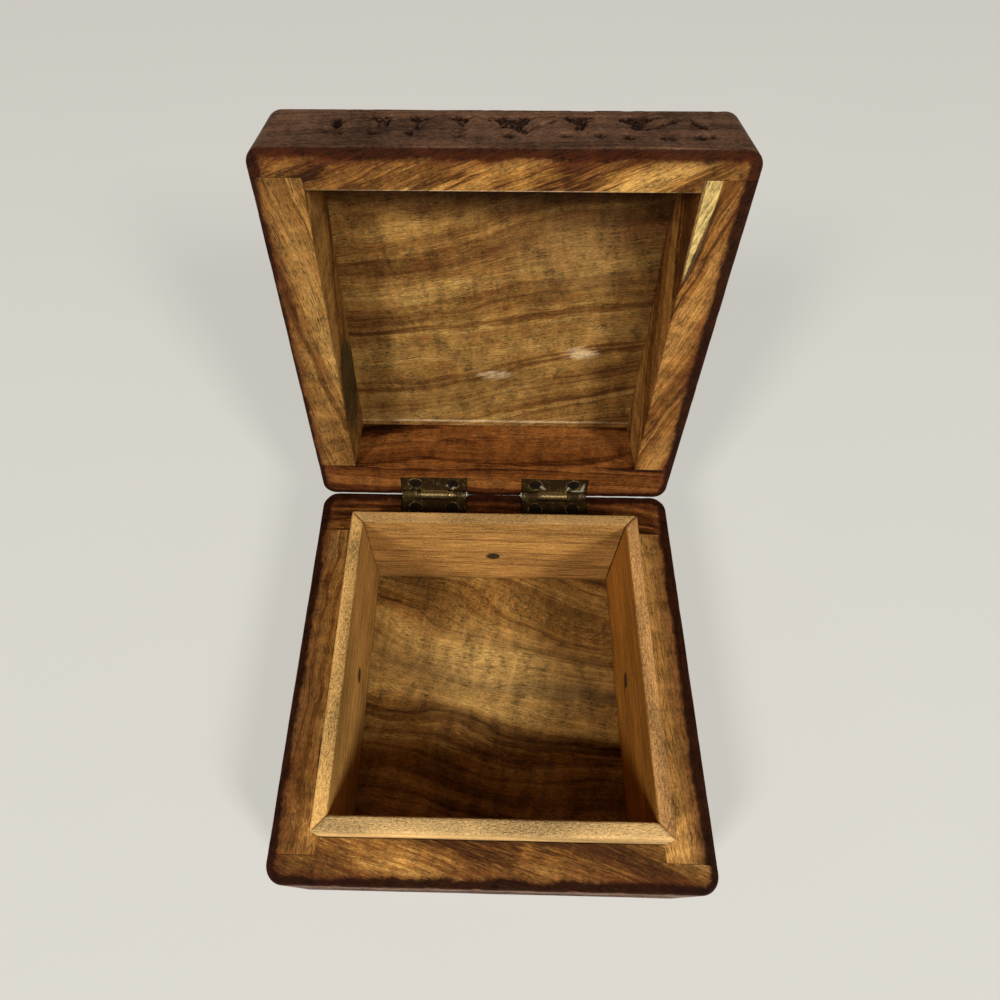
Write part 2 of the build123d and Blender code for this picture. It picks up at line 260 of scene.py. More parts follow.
class Nodes:
    """A node tree while its nodes are being laid out."""

    def __init__(self, tree):
        self.tree = tree

    def add(self, kind, settings=None, inputs=None, output=0):
        """A node: its settings first, then the values or links of its sockets."""
        node = self.tree.nodes.new(kind)
        for key, value in (settings or {}).items():
            setattr(node, key, value)
        for key, value in (inputs or {}).items():
            if isinstance(value, Wire):
                self.tree.links.new(value.socket, node.inputs[key])
            else:
                node.inputs[key].default_value = value
        return Wire(self, node.outputs[output]) if len(node.outputs) else None

    def vector(self, x=0.0, y=0.0, z=0.0):
        return self.add("ShaderNodeCombineXYZ", None, {0: x, 1: y, 2: z})


class Finish(Nodes):
    """A material while its nodes are being laid out; its point is in millimetres, in the frame of a place."""

    def __init__(self, name, place=BASE_PLACE):
        self.material = bpy.data.materials.new(name)
        self.material.use_nodes = True
        super().__init__(self.material.node_tree)
        self.tree.nodes.clear()
        here = self.add("ShaderNodeTexCoord", output="Object")
        back = place.inverted()
        self.point = self.turned(here, back.to_euler(), back.translation / MM, (1 / MM,) * 3)

    def ramp(self, value, stops):
        """A colour read off a row of stops, each a position and a colour."""
        colour = self.add("ShaderNodeValToRGB", None, {0: value})
        elements = colour.socket.node.color_ramp.elements
        for position, _ in stops[2:]:
            elements.new(position)
        for element, (position, stop) in zip(elements, stops):
            element.position, element.color = position, stop
        return colour

    def parts(self, vector):
        """The three numbers of a vector."""
        node = self.add("ShaderNodeSeparateXYZ", None, {0: vector}).socket.node
        return [Wire(self, socket) for socket in node.outputs]

    def turned(self, vector, turn=(0, 0, 0), shift=(0, 0, 0), scale=(1, 1, 1)):
        """A vector scaled, turned and then shifted."""
        inputs = {"Vector": vector, "Rotation": turn, "Location": shift, "Scale": scale}
        return self.add("ShaderNodeMapping", {"vector_type": "POINT"}, inputs)

    def noise(self, vector, scale=1.0, detail=2.0, rough=0.5, swirl=0.0):
        """Soft cloudy noise about a half."""
        inputs = {"Vector": vector, "Scale": scale, "Detail": detail, "Roughness": rough, "Distortion": swirl}
        return self.add("ShaderNodeTexNoise", {"noise_dimensions": "3D"}, inputs)

    def streaks(self, vector, along, across, detail=2.0, rough=0.5):
        """Noise with one scale along x and another across it."""
        return self.noise(self.turned(vector, scale=(along, across, across)), 1.0, detail, rough)

    def line_noise(self, value, scale, detail, rough):
        """Noise along one number."""
        inputs = {"W": value, "Scale": scale, "Detail": detail, "Roughness": rough}
        return self.add("ShaderNodeTexNoise", {"noise_dimensions": "1D"}, inputs)

    def cells(self, vector, scale):
        """Distance to the nearest of many scattered points."""
        inputs = {"Vector": vector, "Scale": scale, "Randomness": 1.0}
        return self.add("ShaderNodeTexVoronoi", {"feature": "F1"}, inputs)

    def mix(self, factor, first, second, blend="MIX"):
        """A colour between two colours."""
        settings = {"data_type": "RGBA", "blend_type": blend, "clamp_factor": True}
        inputs = {0: factor, 6: self.colour(first), 7: self.colour(second)}
        return self.add("ShaderNodeMix", settings, inputs, output=2)

    @staticmethod
    def colour(value):
        return value if isinstance(value, Wire) or len(value) == 4 else (*value, 1.0)

    def cast(self, colour, by):
        """A colour multiplied by another."""
        return self.mix(1.0, colour, by, "MULTIPLY")

    def shade(self, colour, amount):
        """A colour made lighter or darker by a number that changes over the surface."""
        return self.cast(colour, self.vector(amount, amount, amount))

    def attribute(self, name):
        """A number kept on the piece's own vertices."""
        settings = {"attribute_type": "GEOMETRY", "attribute_name": name}
        return self.add("ShaderNodeAttribute", settings, output="Fac")

    def surface(self, relief, depth, strength, **inputs):
        """The shader itself, bumped by a relief of a depth in metres, which ends the material."""
        named = {key.replace("_", " "): value for key, value in inputs.items()}
        bump = {"Height": relief, "Distance": depth, "Strength": strength}
        shader = self.add("ShaderNodeBsdfPrincipled", None, {**named, "Normal": self.add("ShaderNodeBump", None, bump)})
        self.add("ShaderNodeOutputMaterial", None, {"Surface": shader})
        return self.material


# ---------------------------------------------------------------- finishes

WOOD_SHEEN = 0.08
BRASS_SHEEN = 0.1


def tint(colour, amount=1.0, warmth=0.0):
    """A set colour, scaled and made a little redder."""
    scales = amount * (1 + warmth), amount, amount * (1 - warmth)
    return (*(min(part * scale, 1.0) for part, scale in zip(colour, scales)), 1.0)


def outline_distance(finish, corner):
    """How far a point lies outside the box's rounded plan, in millimetres."""
    x, y, z = finish.parts(finish.point)
    over_x = x.abs() - (HALF_X - corner)
    over_y = y.abs() - (HALF_Y - corner)
    beyond = (over_x.most(0.0) ** 2.0 + over_y.most(0.0) ** 2.0).root()
    return beyond + over_x.most(over_y).least(0.0) - corner, z


def mark(at, size, colour, strength=1.0, soft=0.15, ragged=0.5, turn=0.0):
    """One local mark: a ragged oval of a colour, with its half sizes and its turn in degrees."""
    shape = {"at": at, "size": size, "turn": turn, "soft": soft, "ragged": ragged}
    return {**shape, "colour": colour, "strength": strength}


def mark_mask(finish, patch, frayed):
    """How strongly a local mark shows: 1 inside its oval, 0 outside."""
    turn = math.radians(patch["turn"])
    back = Matrix.Rotation(-turn, 3, "Z") @ -Vector(patch["at"])
    spread = zip(finish.parts(finish.turned(finish.point, (0, 0, -turn), tuple(back))), patch["size"])
    x, y, z = ((part / size) ** 2.0 for part, size in spread)
    reach = (x + y + z).root() + (frayed - 0.5) * patch["ragged"]
    return reach.step(1.0 + patch["soft"], 1.0 - patch["soft"]) * patch["strength"]


# What a board has unless it says otherwise: its grain's bends and bands, its colour and its stain's widths in mm
PLAIN_BOARD = {
    "sway": 12.0, "ripple": 2.0, "band": 0.14, "line": 0.8, "figure": 1.0, "streaks": 1.0, "shade": 0.0, "pores": 0.5,
    "cast": (1.0, 1.0, 1.0), "stain": 2.2, "glow": 2.6, "russet": 0.55, "seep": 0.42, "marks": (),
}


def timber(name, place, **board):
    """Figured hardwood with a dark stain that runs in from the outer faces."""
    board = {**PLAIN_BOARD, **board}
    look = bpy.context.scene.keepsake_timber
    shape = bpy.context.scene.keepsake_shape
    finish = Finish(name, place)
    grain = finish.turned(finish.point, (0, 0, math.radians(board["turn"])), board["shift"])

    # The fibres run along x, bent by slow waves
    slow = finish.streaks(grain, 0.011, 0.030, 1.0)
    quick = finish.streaks(grain, 0.050, 0.13)
    bend = (slow - 0.5) * board["sway"] + (quick - 0.5) * board["ripple"]
    along, across, up = finish.parts(grain)
    across, up = across + bend, up + bend * 0.6
    fibres = finish.vector(along, across, up)

    # Growth rings about a heart line, frayed along the fibres
    fray = finish.streaks(fibres, 0.085, 1.3, 2.0, 0.6)
    over, high = across + board["heart"][0], up + board["heart"][1]
    ring = (over * over + high * high).root() + (fray - 0.5) * 2.4
    broad = finish.line_noise(ring, board["band"], 2.0, 0.55)
    fine = finish.line_noise(ring, board["line"], 2.0, 0.6)
    cloud = finish.streaks(fibres, 0.020, 0.075, 2.0, 0.55)
    fibre = finish.streaks(fibres, 0.16, 2.1, 3.0, 0.66)
    mottle = finish.streaks(fibres, 0.30, 0.14, 3.0, 0.62)
    grit = finish.streaks(fibres, 1.1, 3.9, 2.0, 0.72)
    pore = finish.streaks(fibres, 0.34, 3.4, 1.0).step(0.58, 0.70)

    tone = (broad - 0.5) * (1.15 * board["figure"]) + (fine - 0.5) * board["streaks"] + (cloud - 0.5) * 0.9
    tone = tone + (fibre - 0.5) * 1.1 + (0.42 + board["shade"])
    stops = [(0.12, look.pale), (0.36, look.golden), (0.56, look.brown), (0.80, look.dark), (1.0, look.darkest)]
    colour = finish.ramp(tone, [(position, tint(stop)) for position, stop in stops])
    colour = finish.cast(colour, board["cast"])
    speckle = (1.0 + (fibre - 0.5) * 2.6 + (mottle - 0.5) * 1.8 + (grit - 0.5) * 2.3).most(0.2)
    colour = finish.shade(colour, speckle)
    colour = finish.mix(pore * board["pores"], colour, tint(look.dark, 0.8))
    for patch in board["marks"]:
        mask = mark_mask(finish, patch, fray * 0.5 + grit * 0.5)
        colour = finish.mix(mask, colour, finish.shade(patch["colour"], speckle))

    # Stain: nearly black on the arris, red-brown where it runs out
    lid = place is LID_PLACE
    outside, z = outline_distance(finish, (shape.lid_corner_round if lid else shape.base_corner_round) / MM)
    if lid:
        outside = outside.most(z - LID_HEIGHT)
    blotch = finish.streaks(finish.point, 0.11, 0.11)
    ragged = finish.streaks(finish.point, 0.62, 0.62, 3.0, 0.65)
    edge = outside + (blotch - 0.5) * 2.6 + (ragged - 0.5) * 1.3 + (fibre - 0.5) * 1.1
    wide = board["stain"]
    russet = edge.step(-wide - board["glow"], -wide + 0.2) * board["russet"]
    colour = finish.mix(russet, colour, finish.shade(tint(look.russet), speckle))
    soaked = finish.mix(edge.step(-1.5, 0.3), tint(look.seep, board["seep"]), tint(look.stain, 0.9, 0.3))
    colour = finish.mix(edge.step(-wide - 0.6, -wide + 0.6) * 0.96, colour, finish.shade(soaked, speckle))

    # Outer faces: dull brown worn by handling and greyed as a painted sheen; painted shade darkens every cut and the
    # punched ground
    carving, ground, face = (finish.attribute(name) for name in ("carving", "ground", "outer"))
    grown = (broad - 0.5) * 0.9 + (fine - 0.5) * 0.7 + (fibre - 0.5) * 1.6 + (cloud - 0.5) * 1.2 + 0.5
    # The brown is real wear; its grey lift is a painted sheen
    handled_and_sheen = finish.mix(grown.step(0.14, 0.86), tint(look.worn, 2.9), tint(look.worn, 0.6))
    colour = finish.mix(face * 0.95, colour, finish.shade(handled_and_sheen, 0.25 + speckle * 0.75))
    stipple = finish.noise(finish.point, 1.3, 2.0, 0.6).step(0.32, 0.62)
    # Painted shade: the cuts and the punched ground darken towards the stain colour
    shadow = (carving * (0.75 + stipple * 0.9) + ground * (stipple * 0.4)).least(0.95) * face
    colour = finish.mix(shadow, colour, tint(look.stain, 0.6))

    pits = finish.cells(finish.point, 1.75).step(0.0, 0.55)
    relief = fibre * 0.45 - pore * 0.7 + fine * 0.15 + grit * 0.25 + pits * ground * 2.0
    rough = 0.55 + (fibre - 0.5) * 0.3 + pore * 0.15 + carving * 0.25 - face * 0.10
    return finish.surface(relief, 0.00016, 0.55, Base_Color=colour, Roughness=rough, Specular_IOR_Level=WOOD_SHEEN)


def lining_wood(name, along, shift, cast, top, nail):
    """Plain pale wood with long fine lines along x or y, sawn rough along its top."""
    look = bpy.context.scene.keepsake_lining
    finish = Finish(name)
    grain = finish.turned(finish.point, (0, 0, math.radians(along)), shift)
    slow = finish.streaks(grain, 0.010, 0.05, 1.0)
    _, across, up = finish.parts(grain)
    fray = finish.streaks(grain, 0.07, 1.6)
    ring = up + across * 0.4 + (slow - 0.5) * 9.0 + (fray - 0.5) * 1.6
    lines = finish.line_noise(ring, 0.55, 3.0, 0.62)
    fibre = finish.streaks(grain, 0.12, 2.4, 3.0, 0.68)
    fleck = finish.streaks(grain, 0.22, 3.6, 1.0).step(0.56, 0.70)
    cloud = finish.streaks(grain, 0.03, 0.10)
    grit = finish.noise(finish.point, 2.4, 2.0, 0.7)
    saw = finish.streaks(grain, 1.1, 3.6, 3.0, 0.70)

    colour = finish.mix(lines.step(0.48, 0.68) * 0.65, tint(look.wood), tint(look.line))
    colour = finish.mix(fleck * 0.5, colour, tint(look.line, 0.7))
    colour = finish.cast(colour, cast)
    speckle = 1.0 + (fibre - 0.5) * 2.5 + (cloud - 0.5) * 1.2 + (grit - 0.5) * 1.6
    colour = finish.shade(colour, speckle.most(0.3))

    # The upper edge and the outer face were left from the saw: pale and pitted
    x, y, z = finish.parts(finish.point)
    low, high = node_box("lining_front")[0], node_box("lining_back")[1]
    over = (x.abs() - high[0]).most((y - (low[1] + high[1]) / 2).abs() - (high[1] - low[1]) / 2)
    upper = z.step(high[2] - 0.6, high[2] - 0.15).most(over.step(-0.5, -0.2))
    gashes = (saw * 0.75 + fibre * 0.25).step(0.47, 0.35) * 0.45
    sawn = finish.cast(finish.mix(gashes, tint(look.sawn), tint(look.line, 1.25, 0.2)), top)
    sawn = finish.shade(sawn, (1.0 + (saw - 0.5) * 1.9 + (cloud - 0.5) * 2.6 + (grit - 0.5) * 1.4).most(0.3))
    # Painted shade: the outer face darkens towards the rim it rises out of
    sawn = finish.mix(z.step(BASE_HEIGHT + 2.2, BASE_HEIGHT + 0.2) * 0.7, sawn, tint(look.line, 0.30))
    colour = finish.mix(upper, colour, sawn)

    # Rust round the nail with painted shade of its hole, and painted shade at the foot where the strip meets the floor
    rust_and_hole_shade = mark_mask(finish, mark(nail, (2.1, 2.1, 2.1), None, soft=0.2), grit)
    colour = finish.mix(rust_and_hole_shade * 0.85, colour, tint(look.line, 0.12))
    # Painted shade: darker towards the strip's foot
    colour = finish.mix(z.step(low[2] + 1.8, low[2] + 0.2) * 0.6, colour, tint(look.line, 0.35))
    relief = fibre * 0.5 + lines * 0.3 - fleck * 0.4 + upper * saw * 2.5
    rough = 0.60 + (fibre - 0.5) * 0.3
    return finish.surface(relief, 0.00014, 0.7, Base_Color=colour, Roughness=rough, Specular_IOR_Level=WOOD_SHEEN)


def aged_brass(name, place=BASE_PLACE, rubbed=0.4, barrel=None, glue=()):
    """Tarnished brass, nearly black on the leaves and bright where the barrel rubs."""
    look = bpy.context.scene.keepsake_metal
    finish = Finish(name, place)
    cloud = finish.noise(finish.point, 0.42, 4.0, 0.65)
    grit = finish.noise(finish.point, 2.6, 3.0, 0.7)
    brush = finish.streaks(finish.point, 3.2, 0.35)
    spots = cloud * 0.6 + grit * 0.25 + brush * 0.25
    if barrel is not None:
        centre, axis_z = barrel
        x, y, z = finish.parts(finish.point)
        reach = ((y - HINGE_Y) ** 2.0 + (z - axis_z) ** 2.0).root()
        middle = (x - centre).abs().step(LEAF["middle"] + 0.2, LEAF["middle"] - 0.4)
        spots = spots + reach.step(LEAF["barrel"] + 0.35, LEAF["barrel"] + 0.05) * (0.08 + middle * 0.20)
    wear = spots.step(0.70 - rubbed * 0.2, 0.88 - rubbed * 0.2)
    colour = finish.mix(wear, tint(look.tarnish), tint(look.brass))
    verdigris = finish.noise(finish.point, 0.26, 3.0, 0.6, 0.4).step(0.52, 0.66) * (1 - wear)
    colour = finish.mix(verdigris * 0.5, colour, tint(look.verdigris))
    scratch = finish.noise(finish.turned(finish.point, (0, 0, 0.6), scale=(3.0, 0.4, 3.0)), 1.0, 1.0).step(0.68, 0.74)
    colour = finish.mix(scratch * 0.25, colour, tint(look.brass, 0.8))
    colour = finish.shade(colour, (1.0 + (grit - 0.5) * 1.8).most(0.3))
    if barrel is not None:
        # Grime fills the sinkings, and their rims are rubbed
        side = ((x - centre).abs() - SCREW["spacing"] / 2) ** 2.0
        sinking = (side + (y - (HINGE_Y - SCREW["setback"])) ** 2.0).root() + (cloud - 0.5) * 0.8
        worn = finish.noise(finish.point, 0.55, 2.0, 0.5, 3.0).step(0.50, 0.60)
        rim = sinking.step(2.4, 2.0) * sinking.step(1.7, 1.9) * worn
        colour = finish.mix(sinking.step(2.0, 1.5) * 0.9, colour, tint(look.tarnish, 0.15))
        colour = finish.mix(rim * 0.4, colour, tint(look.brass, 1.2))
    crust = 0.0
    for at, size, turn in glue:
        string = mark(at, size, None, soft=0.3, ragged=2.6, turn=math.degrees(turn))
        crust = mark_mask(finish, string, grit * 0.7 + cloud * 0.3).most(crust)
    if glue:
        colour = finish.mix(crust * 0.8, colour, finish.shade(tint(look.glue), 0.2 + grit * 1.6))
    relief = grit * 0.6 + brush * 0.5
    rough = 0.58 - wear * 0.28 + (grit - 0.5) * 0.3
    metal = (0.25 + wear * 0.7) * (1.0 - crust)
    return finish.surface(
        relief, 0.00008, 0.7, Base_Color=colour, Metallic=metal, Roughness=rough, Specular_IOR_Level=BRASS_SHEEN
    )


def dull_steel(name, colour_set, place=BASE_PLACE):
    """Steel that has gone dark, with a few rubbed spots."""
    finish = Finish(name, place)
    grit = finish.noise(finish.point, 3.1, 3.0, 0.7)
    rub = (grit * 0.6 + finish.noise(finish.point, 0.9) * 0.5).step(0.56, 0.74)
    colour = finish.mix(rub * 0.7, tint(colour_set, 0.25, 0.1), tint(colour_set, 2.2))
    return finish.surface(grit, 0.00005, 0.7, Base_Color=colour, Metallic=0.35 + rub * 0.5, Roughness=0.6 - rub * 0.2)


# ---------------------------------------------------------------- carving


def fade(low, high, value):
    """0 below low, 1 above high, smooth between."""
    step = np.clip((value - low) / (high - low), 0, 1)
    return step * step * (3 - 2 * step)


def ripples(points, seed, size, waves=14):
    """Slow handmade unevenness from -1 to 1, from crossed waves of about a size in mm."""
    draw = np.random.default_rng(seed)
    total = np.zeros(len(points))
    for _ in range(waves):
        direction = draw.normal(size=points.shape[1])
        direction *= 2 * math.pi / size / np.linalg.norm(direction) * draw.uniform(0.5, 1.9)
        total += np.sin(points @ direction + draw.uniform(0, 2 * math.pi))
    return total / math.sqrt(waves * 2)


class Carver:
    """Cuts leaves and stems into a flat patch, and remembers how deep each point lies."""

    def __init__(self, u, v):
        self.u, self.v = u, v
        self.edge = np.full(len(u), 50.0)
        self.inner = np.zeros(len(u))
        self.gouge = np.zeros(len(u))
        self.shake = ripples(np.stack([u, v], 1), 8, 2.2)

    def keep(self, near, edge, inner):
        """Takes a raised shape in, where it is the nearest one."""
        closer = edge < self.edge[near]
        index = np.flatnonzero(near)[closer]
        self.edge[index] = edge[closer]
        self.inner[index] = inner[closer]

    def leaf(self, root, aim, length, width, curl=0.0):
        """A pointed leaf with a rib and slanting veins."""
        near = np.hypot(self.u - root[0], self.v - root[1]) < length + 4
        if not near.any():
            return
        du, dv = self.u[near] - root[0], self.v[near] - root[1]
        along = du * math.cos(aim) + dv * math.sin(aim)
        across = dv * math.cos(aim) - du * math.sin(aim)
        t = along / length
        across = across - curl * length * np.clip(t, 0, 1) ** 2
        body = np.clip(t, 0, 1)
        half = width / 2 * np.sin(math.pi * body**0.72) * (1 + 0.10 * np.cos(body * 18))
        past = np.where(t < 0, -along, np.maximum(along - length, 0))
        edge = np.where(past > 0, np.hypot(past, across), np.abs(across) - half)
        rib = 0.34 * np.clip(1 - np.abs(across) / 0.34, 0, 1) * fade(-0.05, 0.1, t) * fade(0.98, 0.8, t)
        wave = np.abs(((along - np.abs(across) * 1.1) / 1.5) % 1 - 0.5) * 2
        vein = 0.16 * np.clip(1 - wave / 0.4, 0, 1) * fade(0.1, 0.5, np.abs(across)) * (edge < -0.1)
        dome = 0.20 * fade(-0.9, 0.0, edge)
        self.keep(near, edge, np.maximum(rib, vein) + dome)

    def stem(self, points, half=0.55):
        """A raised stem through points."""
        points = np.asarray(points, float)
        low, high = points.min(0) - 4, points.max(0) + 4
        near = (self.u > low[0]) & (self.u < high[0]) & (self.v > low[1]) & (self.v < high[1])
        here = np.stack([self.u[near], self.v[near]], 1)
        best = np.full(len(here), 50.0)
        for start, end in zip(points[:-1], points[1:]):
            run = end - start
            t = np.clip(((here - start) @ run) / (run @ run), 0, 1)
            best = np.minimum(best, np.linalg.norm(here - start - t[:, None] * run, axis=1))
        groove = 0.16 * np.clip(1 - best / 0.22, 0, 1)
        self.keep(near, best - half, groove)

    def disc(self, centre, radius, dish):
        """A raised round boss, dished in the middle."""
        gap = np.hypot(self.u - centre[0], self.v - centre[1])
        near = gap < radius + 4
        self.keep(near, gap[near] - radius, dish * fade(radius * 0.75, radius * 0.45, gap[near]))

    def lobe(self, centre, width, foot, rise):
        """A rounded lobe, ribbed like a shell, that stands on its foot line."""
        near = (np.abs(self.u - centre) < width / 2 + 4) & (self.v > foot - 4)
        spots = np.stack([self.u[near], self.v[near]], 1)
        shaky = ripples(spots, 5, 5.0) * 0.35 + ripples(spots, 6, 1.6) * 0.16
        du, dv = (self.u[near] - centre) / (width / 2), (self.v[near] - foot) / rise
        reach = np.sqrt(du**2 + dv**2) + 1e-6
        slope = np.sqrt((du / (width / 2)) ** 2 + (dv / rise) ** 2) / reach
        edge = (reach - 1) / slope + shaky
        line = 0.22 * np.exp(-(((edge + 1.1) / 0.30) ** 2))
        turn = np.arctan2(dv + 0.25, du)
        rib = 0.12 * (0.5 + 0.5 * np.cos(turn * 13)) * fade(-1.3, -2.0, edge) * fade(0.1, 0.5, reach)
        self.keep(near, edge, (line + rib) * fade(0.0, 0.25, dv) + 0.18 * fade(-0.7, 0.0, edge))

    def crescent(self, centre, radius, aim, sweep):
        """One curved stroke of the gouge, deepest in its middle."""
        du, dv = self.u - centre[0], self.v - centre[1]
        turn = (np.arctan2(dv, du) - aim + math.pi) % (2 * math.pi) - math.pi
        body = np.clip(1 - (np.abs(turn) / sweep) ** 2, 0, 1)
        off = np.abs(np.hypot(du, dv) - radius) / (0.75 * np.sqrt(body) + 1e-6)
        self.gouge = np.maximum(self.gouge, 0.55 * body * np.clip(1 - off**2, 0, 1))

    def cut(self, start, end, width, depth, bow):
        """A tapered stroke of the gouge from start to end, bowed to one side."""
        run = np.subtract(end, start)
        length = np.hypot(*run)
        du, dv = self.u - start[0], self.v - start[1]
        along = (du * run[0] + dv * run[1]) / length**2
        across = (dv * run[0] - du * run[1]) / length - bow * 4 * along * (1 - along)
        body = np.clip(1 - (2 * along - 1) ** 2, 0, 1)
        across = across + self.shake * 0.18
        off = np.abs(across) / (width / 2 * (0.3 + 0.7 * body))
        self.gouge = np.maximum(self.gouge, depth * body**0.6 * np.clip(1 - off**1.4, 0, 1))

    def scoop(self, centre, wide, tall):
        """A hollow left by one thumb-like push of the gouge, steeper at its top."""
        du, dv = (self.u - centre[0]) / wide, (self.v - centre[1]) / tall
        body = np.clip(1 - du**2 - dv**2 + self.shake * 0.3, 0, 1)
        body = body * (du**2 + dv**2 < 2)
        self.gouge = np.maximum(self.gouge, 0.85 * body**0.6 * (0.8 + 0.35 * np.clip(dv, -1, 1)))

    def finish(self, depth, seed, field):
        """The depth of every point and the share of punched ground there."""
        ground = fade(0.05, 0.42, self.edge) * field
        lip = 0.16 * np.exp(-(((self.edge - 0.25) / 0.22) ** 2))
        pitted = punched(self.u, self.v, seed) * ground
        inside = np.where(self.edge < 0.05, self.inner, 0.0)
        uneven = 0.88 + 0.12 * ripples(np.stack([self.u, self.v], 1), seed + 1, 9.0)
        total = (ground * (depth + lip) + pitted) * uneven + inside + self.gouge
        return total, ground


def punched(u, v, seed, pitch=0.98, radius=0.44, depth=0.26):
    """The small round pits that a punch leaves close together in the ground."""
    cell_u, cell_v = np.floor(u / pitch), np.floor(v / pitch)
    best = np.full(len(u), 9.0)
    for step_u in (-1, 0, 1):
        for step_v in (-1, 0, 1):
            near_u, near_v = cell_u + step_u, cell_v + step_v
            mixed = np.sin(near_u * 127.1 + near_v * 311.7 + seed * 17.3) * 43758.5453
            other = np.sin(near_u * 269.5 + near_v * 183.3 + seed * 9.1) * 23421.631
            at_u = (near_u + 0.5 + (mixed - np.floor(mixed) - 0.5) * 0.6) * pitch
            at_v = (near_v + 0.5 + (other - np.floor(other) - 0.5) * 0.6) * pitch
            best = np.minimum(best, np.hypot(u - at_u, v - at_v))
    return depth * np.clip(1 - (best / radius) ** 2, 0, 1)


def carve_vine(u, v, band, depth):
    """A vine that scrolls along a side, with a palmette in every bend."""
    carver = Carver(u, v)
    draw = np.random.default_rng(band["seed"])
    low, high, start, end = band["low"], band["high"], band["start"], band["end"]
    middle, half = (low + high) / 2, (high - low) / 2
    count = band["bends"]
    wave = 2 * (end - start) / count
    swing = half * 0.46
    run = np.linspace(start, end, count * 10)
    path = middle + swing * np.sin((run - start) * 2 * math.pi / wave)
    carver.stem(np.stack([run, path], 1))
    for index in range(count):
        side = 1 if index % 2 == 0 else -1
        centre = start + (index + 0.5) * wave / 2
        root = (centre, middle + side * (swing - 0.5))
        length = half + swing - 1.0
        for turn, share in ((-0.82, 0.86), (0.0, 1.0), (0.82, 0.86)):
            aim = -side * math.pi / 2 + turn + draw.uniform(-0.08, 0.08)
            curl = 0.20 * (1 if turn > 0 else -1) if turn else draw.uniform(-0.08, 0.08)
            carver.leaf(root, aim, length * share, length * 0.34, curl)
        for turn in (-0.9, 0.9):
            aim = side * math.pi / 2 + turn + draw.uniform(-0.12, 0.12)
            carver.leaf((centre, middle + side * (swing + 0.4)), aim, (half - swing) * 1.25, half * 0.28)
        for offset in (-0.24, 0.24):
            where = (centre + offset * wave / 2, middle - side * (half + 1.9))
            carver.crescent(where, 1.2, side * math.pi / 2 + draw.uniform(-0.3, 0.3), 1.2)
    wander = ripples(np.stack([u, v], 1), band["seed"], 7.0) * 0.3
    soft = ripples(np.stack([u], 1), band["seed"] + 5, 16.0, 6) * 0.5
    field = fade(low - 0.5, low + 0.3, v + soft) * fade(high + 0.5, high - 0.3, v + soft)
    field = field * fade(start - 2.2, start - 1.2, u) * fade(end + 2.2, end + 1.2, u)
    field = field * fade(band["halo"] + 0.35, band["halo"] - 0.25, carver.edge + wander)
    return carver.finish(depth, band["seed"], field)


def carve_lobes(u, v, band, depth):
    """A row of lobes with punched pockets between their tops, and scoops under their feet."""
    carver = Carver(u, v)
    lobes, foot, rise = band["lobes"], band["foot"], band["rise"]
    for centre, width in lobes:
        carver.lobe(centre, width, foot, rise)
    for start, end, width, deep, bow in band["cuts"]:
        carver.cut(start, end, width * 2.1, deep * 1.35, bow)
    for centre, wide, tall in band["scoops"]:
        carver.scoop(centre, wide, tall)
    draw = np.random.default_rng(band["seed"])
    for _ in range(48):
        at, high, aim = draw.uniform(-40, 42), draw.uniform(3.5, 16.0), draw.uniform(-0.9, 0.9)
        run = draw.uniform(1.5, 5.0)
        end = (at + run * math.cos(aim), high + run * math.sin(aim))
        carver.cut((at, high), end, draw.uniform(0.3, 0.6), draw.uniform(0.08, 0.26), draw.uniform(-0.3, 0.3))
    soft = ripples(np.stack([u, v], 1), band["seed"] + 5, 4.5, 10) * 0.7
    field = fade(foot + rise + 0.4, foot + rise - 0.4, v + soft) * fade(foot + 0.4, foot + 2.2, v + soft)
    field = field * (0.72 + 0.28 * ripples(np.stack([u, v], 1), band["seed"] + 6, 5.0, 10))
    field = field * fade(lobes[0][0] - 0.1, lobes[0][0] + 0.5, u) * fade(lobes[-1][0] + 0.1, lobes[-1][0] - 0.5, u)
    return carver.finish(depth, band["seed"], field)


def lobe_band(seed, start, end):
    """A row of lobes set out from a seed: centres, widths, cuts and scoops."""
    draw = np.random.default_rng(seed)
    foot, rise = 8.6, 7.6
    lobes, cuts, scoops, at = [], [], [], start
    while at + 11 < end:
        width = draw.uniform(8.0, 11.0)
        lobes.append((at + width / 2, width))
        gap = at + width + 1.0
        tilt = draw.uniform(-1.2, 1.2)
        cuts.append(((gap - 2.2, foot + rise - 1.2), (gap + tilt * 0.3, foot + 0.6), 0.7, 0.5, 0.3))
        cuts.append(((gap + 1.8, foot + rise - 0.6), (gap + 0.4, foot + 1.4), 0.6, 0.45, -0.3))
        scoops.append(((gap + draw.uniform(-0.4, 0.4), foot - 2.0), draw.uniform(1.1, 1.6), draw.uniform(1.4, 1.8)))
        at = gap + draw.uniform(0.6, 1.4)
    cuts.append(((start - 2.4, foot + rise - 1), (start - 1.6, foot + 1), 0.9, 0.7, 0.0))
    cuts.append(((at + 1.2, foot + rise - 1), (at + 2.4, foot + 1), 0.9, 0.7, 0.0))
    return {
        "carve": carve_lobes, "lobes": lobes, "foot": foot, "rise": rise, "cuts": cuts, "scoops": scoops, "seed": seed
    }


